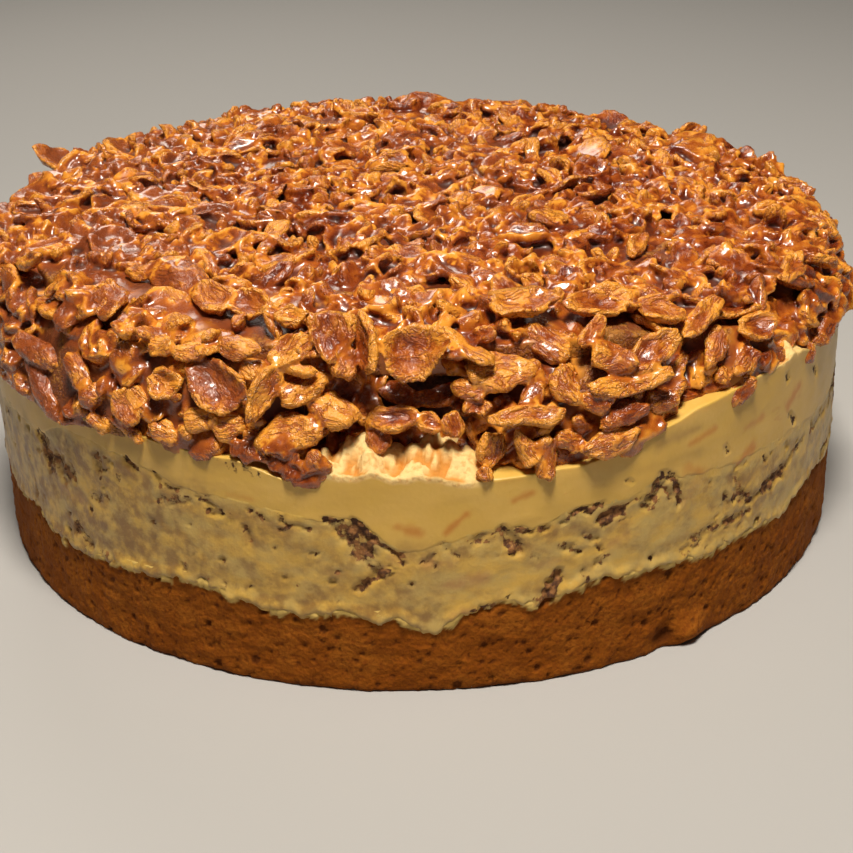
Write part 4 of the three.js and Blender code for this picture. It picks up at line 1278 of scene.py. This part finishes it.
class Neighbours:
    """Averages over each point's neighbours in a triangle mesh."""

    def __init__(self, tris, count):
        self.tris = tris
        self.size = count
        self.edges = np.concatenate([tris[:, [0, 1]], tris[:, [1, 2]], tris[:, [2, 0]]])
        self.total = np.maximum(np.bincount(self.edges.ravel(), minlength=count), 1)

    def average(self, values):
        if values.ndim == 2:
            return np.stack([self.average(values[:, axis]) for axis in range(3)], axis=-1)
        first, second = self.edges[:, 0], self.edges[:, 1]
        near = np.bincount(first, values[second], self.size) + np.bincount(second, values[first], self.size)
        return near / self.total

    def smoothed(self, values, passes):
        for _ in range(passes):
            values = 0.5 * values + 0.5 * self.average(values)
        return values

    def normals(self, points):
        first, second, third = (points[self.tris[:, k]] for k in range(3))
        face = np.cross(second - first, third - first)
        total = np.zeros_like(points)
        for axis in range(3):
            total[:, axis] = sum(np.bincount(self.tris[:, k], face[:, axis], self.size) for k in range(3))
        return total / np.maximum(np.linalg.norm(total, axis=1), 1e-9)[:, None]

    def bulge(self, points):
        """How far each point stands out from its neighbours: above 0 on ridges, below 0 in grooves."""
        return self.smoothed(-np.sum((self.average(points) - points) * self.normals(points), axis=1), 1)

    def ridge(self, points):
        """How far each point stands out from a much smoother skin."""
        calm = points
        for _ in range(14):
            calm = self.average(calm)
        return self.smoothed(np.sum((points - calm) * self.normals(points), axis=1), 2)


def nearest_sources(points, sources):
    """For each point the number of the nearest source point."""
    tree = KDTree(len(sources))
    for i, place in enumerate(sources.tolist()):
        tree.insert(place, i)
    tree.balance()
    return np.array([tree.find(place)[1] for place in points.tolist()])


def own_places(flakes, which, pooled, points):
    """Each point's place as its flake sees it, squeezed along the flake, so that wrinkles follow the flake."""
    centre = np.array([flake_place(flake) for flake in flakes])
    local = np.einsum("nji,nj->ni", turn_matrices(flakes)[which], points - centre[which]) * np.array([0.45, 1, 1])
    local = local + 1.1 * smooth_noise(points, 4, 95)[:, None] + (which % 5)[:, None] * 2.3
    return np.where(pooled[:, None], points, local)


def heap_skin(points, faces, voxel, faces_at_most):
    """The outside of a core and its flakes together, with the grooves between them a little melted."""
    points, tris = outer_skins(*after_modifier(points, faces, "REMESH", mode="VOXEL", voxel_size=voxel * MM))
    near = Neighbours(tris, len(points))
    points = near.smoothed(points, 1)
    for _ in range(3):
        groove = step_up(-near.bulge(points), 0.0, 0.17 * voxel)[:, None]
        points = points + 0.5 * groove * (near.average(points) - points)
    if len(tris) > faces_at_most:
        points, tris = after_modifier(points, tris.tolist(), "DECIMATE", ratio=faces_at_most / len(tris))
        near = Neighbours(tris, len(points))
    return points, near


def build_heap(name, form, core, flakes, voxel, faces_at_most, seed):
    """A part of the heap: a core and its flakes fused into one skin, with wrinkles, blisters and their marks."""
    own_points, quads, tris, reach = flake_field(flakes)
    owner = np.repeat(np.arange(len(flakes)), own_points.shape[1])
    core_points, core_faces = core
    core_size = len(core_points)
    sources = np.concatenate([core_points, own_points.reshape(-1, 3)])
    faces = core_faces + (quads + core_size).tolist() + (tris + core_size).tolist()
    points, near = heap_skin(sources, faces, voxel, faces_at_most)
    nearest = nearest_sources(points, sources)
    pooled = nearest < core_size
    source = np.where(pooled, 0, nearest - core_size)
    which = owner[source]
    chance = scrambled(np.stack([np.arange(len(flakes))] * 3, axis=-1), seed)
    own = np.array([flake.get("thin", draw) for flake, draw in zip(flakes, chance)])[which]
    rim = step_up(np.where(pooled, 0, reach.ravel()[source]), 0.78, 1.0)
    flat = near.average(near.average(pooled.astype(float)))
    owners = np.where(pooled, -1, which)[near.tris]
    between = np.zeros(len(points))
    between[near.tris[owners.max(axis=1) != owners.min(axis=1)].ravel()] = 1
    own_place = own_places(flakes, which, pooled, points)
    stria = rough_noise(own_place, 1.8, 94, 2) * (1 - between) * (1 - flat)
    ridge = near.ridge(points)
    distance, _ = grains(points, 2.6, 90)
    blisters = 0.2 * step_up(0.6 - distance, 0, 0.5) + 0.2 * rough_noise(points, 1.9, 91, 2) - 0.1
    relief = 0.8 * blisters * (1 - 0.75 * flat) + 0.24 * np.clip(ridge, -0.8, 0.6) + 0.34 * stria
    points = points + near.normals(points) * relief[:, None]
    bulge = near.bulge(points)
    x, y, z = points.T
    within = side_reach(np.degrees(np.arctan2(y, x)), np.clip(side_share(z), 0, 1)) + 0.8 - np.hypot(x, y)
    depth = np.minimum(form.crown(x, y) - z, within)
    # Painted light: flakes towards the front are made lighter. Ridges are lighter and grooves darker, partly the
    # thinner coat on ridges and partly painted light and shade
    bare = 0.39 + 0.11 * step_up(-y, 45, 100) + 0.6 * (own - 0.5) + (0.04 + 0.36 * own) * rim
    # Painted shade deep in the heap and in the grooves between flakes, and darker over the pooled chocolate
    deep = np.maximum(step_up(depth - 2 * ridge, 4.8, 9.0), 0.95 * step_up(-ridge - 1.2 * bulge, 0.15, 1.2))
    marks = {
        "bare": bare + 0.42 * np.clip(ridge, -1.2, 0.7) + 0.7 * bulge,
        "deep": np.maximum(deep, 0.55 * flat),
        # Painted sheen, stronger towards the left and back and on pooled chocolate
        "milky": 0.1 - x / 260 + 0.4 * smooth_noise(points, 24, 93) + 0.2 * flat,
        "between": between,
        "own_place": own_place,
    }
    new_piece(name, "chocolate_flakes", "flake_topping", points, near.tris.tolist(), marks)


def build_heap_middle(sizes):
    """The middle of the heap's top."""
    form = CakeForm(sizes)
    top, _ = heap_flakes(form)
    flakes = [flake for flake in top if flake["radius"] < MIDDLE_REACH]
    reach = (0, MIDDLE_REACH + 2)
    flakes += thrown_flakes(form, THROWN_SIZES, reach, count=620, seed=5, depth=(1.4, 4.0), steep=62)
    flakes += thrown_flakes(form, BIT_SIZES, reach, count=300, seed=15, depth=(1.6, 3.8), steep=80)
    core = dome_core(form, inner=0, outer=80, foot=70)
    build_heap("heap_middle", form, core, flakes, form.voxel, faces_at_most=170000, seed=21)


def build_heap_shoulder(sizes):
    """The outer part of the heap's top."""
    form = CakeForm(sizes)
    top, _ = heap_flakes(form)
    flakes = [flake for flake in top if flake["radius"] >= MIDDLE_REACH]
    reach = (MIDDLE_REACH, 110)
    thrown = thrown_flakes(form, THROWN_SIZES, reach, count=620, seed=6, depth=(1.4, 4.0), steep=62)
    thrown += thrown_flakes(form, BIT_SIZES, reach, count=280, seed=16, depth=(1.6, 3.8), steep=80)
    core = dome_core(form, inner=74, outer=103, foot=72)
    build_heap("heap_shoulder", form, core, flakes + cleared(form, thrown), form.voxel, faces_at_most=185000, seed=22)


def build_heap_side(sizes):
    """The side of the heap, from its hem on the cream to its shoulder."""
    form = CakeForm(sizes)
    _, flakes = heap_flakes(form)
    flakes += hem_lumps(form, count=150, seed=8)
    flakes += pressed_flakes(form, PRESSED_SIZES, count=860, seed=7)
    flakes += pressed_flakes(form, BIT_SIZES, count=300, seed=17)
    core = side_core(form)
    build_heap("heap_side", form, core, cleared(form, flakes), form.voxel, faces_at_most=170000, seed=23)


def build_heap_front(sizes):
    """The flakes at the broken place and beside it."""
    form = CakeForm(sizes)
    no_core = (np.zeros((0, 3)), [])
    build_heap("heap_front", form, no_core, front_flakes(form), 0.8 * form.voxel, faces_at_most=125000, seed=24)


def build_stage():
    """The pale floor, the soft lights and the camera at the photograph's angle."""
    scene = bpy.context.scene
    bpy.ops.mesh.primitive_plane_add(size=6)
    floor = bpy.context.object
    floor.name = "floor"
    look = Finish("pale_floor", Base_Color=(0.42, 0.41, 0.4, 1), Roughness=0.75, Specular_IOR_Level=0.2)
    floor.data.materials.append(look.material)
    for name, place, power, size in LAMPS:
        lamp = bpy.data.lights.new(name, "AREA")
        lamp.energy = power
        lamp.color = (1.0, 0.93, 0.82)
        lamp.size = size
        light = bpy.data.objects.new(name, lamp)
        light.location = place
        light.rotation_euler = (Vector((0, 0, 0.05)) - Vector(place)).to_track_quat("-Z", "Y").to_euler()
        scene.collection.objects.link(light)
    world = bpy.data.worlds.new("soft_room")
    world.use_nodes = True
    Nodes(world.node_tree).feed(world.node_tree.nodes["Background"], {"Color": (1.0, 0.97, 0.92, 1), "Strength": 0.03})
    scene.world = world
    lens = bpy.data.cameras.new("camera")
    lens.sensor_width = SENSOR_WIDTH
    lens.lens = CAMERA_LENS
    lens.clip_start = 0.01
    camera = bpy.data.objects.new("camera", lens)
    camera.matrix_world = Matrix.Translation(CAMERA_PLACE) @ CAMERA_TURN.to_4x4()
    scene.collection.objects.link(camera)
    scene.camera = camera
    scene.view_settings.view_transform = "Standard"


# The panel, its values and its operators


def length_property(name, description, default):
    return bpy.props.FloatProperty(name=name, description=description, default=default, unit="LENGTH", precision=4)


def colour_property(name, description, red, green, blue):
    colour = {"default": (red, green, blue, 1.0), "size": 4, "min": 0, "max": 1, "subtype": "COLOR"}
    return bpy.props.FloatVectorProperty(name=name, description=description, **colour)


class CakeSizes(bpy.types.PropertyGroup):
    """Sizes that a user would change."""

    ring_radius: length_property("Ring radius", "Radius of the cake's side", 0.115)
    sponge_top: length_property("Sponge top", "Mean height of the sponge's top", 0.025)
    crumb_layer_top: length_property("Crumb layer top", "Mean height of the crumb-filled layer's top", 0.0435)
    cream_top: length_property("Cream top", "Mean height of the smooth layer's top", 0.058)
    crown_top: length_property("Crown", "Height of the heap at its middle", 0.0864)
    surface_step: length_property("Surface step", "Spacing of the points on the layers", 0.0006)
    heap_voxel: length_property("Heap voxel", "Fineness of the fused heap", 0.00052)


class CakeColours(bpy.types.PropertyGroup):
    """Colours that a user would change."""

    sponge: colour_property("Sponge", "Main colour of the sponge", 0.235, 0.062, 0.0035)
    sponge_light: colour_property("Light sponge", "Lighter patches of the sponge", 0.3, 0.092, 0.008)
    sponge_dark: colour_property("Dark sponge", "Darker specks of the sponge", 0.2, 0.05, 0.004)
    # Painted shade in the pores and in the dent at the foot, and the darker burnt foot
    sponge_burnt_and_shaded: colour_property("Sponge pores", "Inside of the pores", 0.09, 0.022, 0.003)
    crumb_cream: colour_property("Crumb cream", "Ice cream between the crumbs", 0.53, 0.355, 0.102)
    veiled_crumb: colour_property("Veiled crumb", "Crumbs under a film of ice cream", 0.22, 0.1, 0.026)
    tan_smear: colour_property("Tan smear", "Flakes under a film of ice cream", 0.45, 0.22, 0.07)
    crumb: colour_property("Crumb", "Crumbs in the ice cream", 0.28, 0.115, 0.03)
    crumb_dark_and_shade: colour_property("Dark crumb", "Dark crumbs and hollows", 0.08, 0.026, 0.007)
    smooth_cream: colour_property("Smooth cream", "Smooth ice cream", 0.64, 0.385, 0.07)
    smooth_cream_pale: colour_property("Pale smooth cream", "Paler clouds in it", 0.68, 0.42, 0.095)
    torn_cream: colour_property("Torn cream", "Ice cream where it is torn", 0.8, 0.56, 0.23)
    # Caramel streaks, and painted shade in the pits of the torn ledge
    streak: colour_property("Streak", "Caramel streaks in the ice cream", 0.56, 0.23, 0.03)
    chocolate: colour_property("Chocolate", "Milk chocolate coat", 0.25, 0.046, 0.006)
    chocolate_dark: colour_property("Dark chocolate", "Thick chocolate", 0.11, 0.013, 0.001)
    # Painted sheen of paler, duller chocolate
    chocolate_sheen: colour_property("Milky chocolate", "Dull, paler chocolate", 0.3, 0.085, 0.028)
    flake_amber: colour_property("Amber flake", "Corn flake under a thin coat", 0.78, 0.31, 0.035)
    flake_toasted: colour_property("Toasted flake", "Darker corn flake", 0.44, 0.112, 0.011)
    # Painted shade deep between the flakes
    crevice_shade: colour_property("Crevice", "Deep between the flakes", 0.045, 0.007, 0.001)
# Dark crumbs, and painted shade in the hollows of the crumb layer and under the heap's hem


class CAKE_OT_sponge(bpy.types.Operator):
    """Build the sponge base"""

    bl_idname = "cake.sponge"
    bl_label = "Sponge"
    bl_options = {"REGISTER", "UNDO"}

    def execute(self, context):
        build_sponge(context.scene.cake_sizes)
        return {"FINISHED"}


class CAKE_OT_crumb_cream(bpy.types.Operator):
    """Build the crumb-filled ice cream"""

    bl_idname = "cake.crumb_cream"
    bl_label = "Crumb-filled ice cream"
    bl_options = {"REGISTER", "UNDO"}

    def execute(self, context):
        build_crumb_cream(context.scene.cake_sizes)
        return {"FINISHED"}


class CAKE_OT_smooth_cream(bpy.types.Operator):
    """Build the smooth ice cream"""

    bl_idname = "cake.smooth_cream"
    bl_label = "Smooth ice cream"
    bl_options = {"REGISTER", "UNDO"}

    def execute(self, context):
        build_smooth_cream(context.scene.cake_sizes)
        return {"FINISHED"}


class CAKE_OT_heap_middle(bpy.types.Operator):
    """Build the middle of the heap of corn flakes"""

    bl_idname = "cake.heap_middle"
    bl_label = "Middle of the heap"
    bl_options = {"REGISTER", "UNDO"}

    def execute(self, context):
        build_heap_middle(context.scene.cake_sizes)
        return {"FINISHED"}


class CAKE_OT_heap_shoulder(bpy.types.Operator):
    """Build the outer part of the heap's top"""

    bl_idname = "cake.heap_shoulder"
    bl_label = "Shoulder of the heap"
    bl_options = {"REGISTER", "UNDO"}

    def execute(self, context):
        build_heap_shoulder(context.scene.cake_sizes)
        return {"FINISHED"}


class CAKE_OT_heap_side(bpy.types.Operator):
    """Build the side of the heap"""

    bl_idname = "cake.heap_side"
    bl_label = "Side of the heap"
    bl_options = {"REGISTER", "UNDO"}

    def execute(self, context):
        build_heap_side(context.scene.cake_sizes)
        return {"FINISHED"}


class CAKE_OT_heap_front(bpy.types.Operator):
    """Build the flakes at the broken place"""

    bl_idname = "cake.heap_front"
    bl_label = "Front of the heap"
    bl_options = {"REGISTER", "UNDO"}

    def execute(self, context):
        build_heap_front(context.scene.cake_sizes)
        return {"FINISHED"}


class CAKE_OT_stage(bpy.types.Operator):
    """Set up the floor, lights and camera"""

    bl_idname = "cake.stage"
    bl_label = "Stage"
    bl_options = {"REGISTER", "UNDO"}

    def execute(self, context):
        build_stage()
        return {"FINISHED"}


OPERATORS = (
    CAKE_OT_sponge,
    CAKE_OT_crumb_cream,
    CAKE_OT_smooth_cream,
    CAKE_OT_heap_middle,
    CAKE_OT_heap_shoulder,
    CAKE_OT_heap_side,
    CAKE_OT_heap_front,
    CAKE_OT_stage,
)


class CAKE_PT_panel(bpy.types.Panel):
    """The cake's values and operators in the sidebar"""

    bl_label = "Ice Cream Cake"
    bl_space_type = "VIEW_3D"
    bl_region_type = "UI"
    bl_category = "Cake"

    def draw(self, context):
        layout = self.layout
        for group in (context.scene.cake_sizes, context.scene.cake_colours):
            for name in group.bl_rna.properties.keys():
                if name not in {"rna_type", "name"}:
                    layout.prop(group, name)
        for operator in OPERATORS:
            layout.operator(operator.bl_idname)


CLASSES = (CakeSizes, CakeColours, *OPERATORS, CAKE_PT_panel)


def register():
    for each in CLASSES:
        bpy.utils.register_class(each)
    bpy.types.Scene.cake_sizes = bpy.props.PointerProperty(type=CakeSizes)
    bpy.types.Scene.cake_colours = bpy.props.PointerProperty(type=CakeColours)


def unregister():
    del bpy.types.Scene.cake_colours
    del bpy.types.Scene.cake_sizes
    for each in reversed(CLASSES):
        bpy.utils.unregister_class(each)


def main():
    register()
    bpy.ops.cake.sponge()
    bpy.ops.cake.crumb_cream()
    bpy.ops.cake.smooth_cream()
    bpy.ops.cake.heap_middle()
    bpy.ops.cake.heap_shoulder()
    bpy.ops.cake.heap_side()
    bpy.ops.cake.heap_front()
    bpy.ops.cake.stage()


if __name__ == "__main__":
    main()
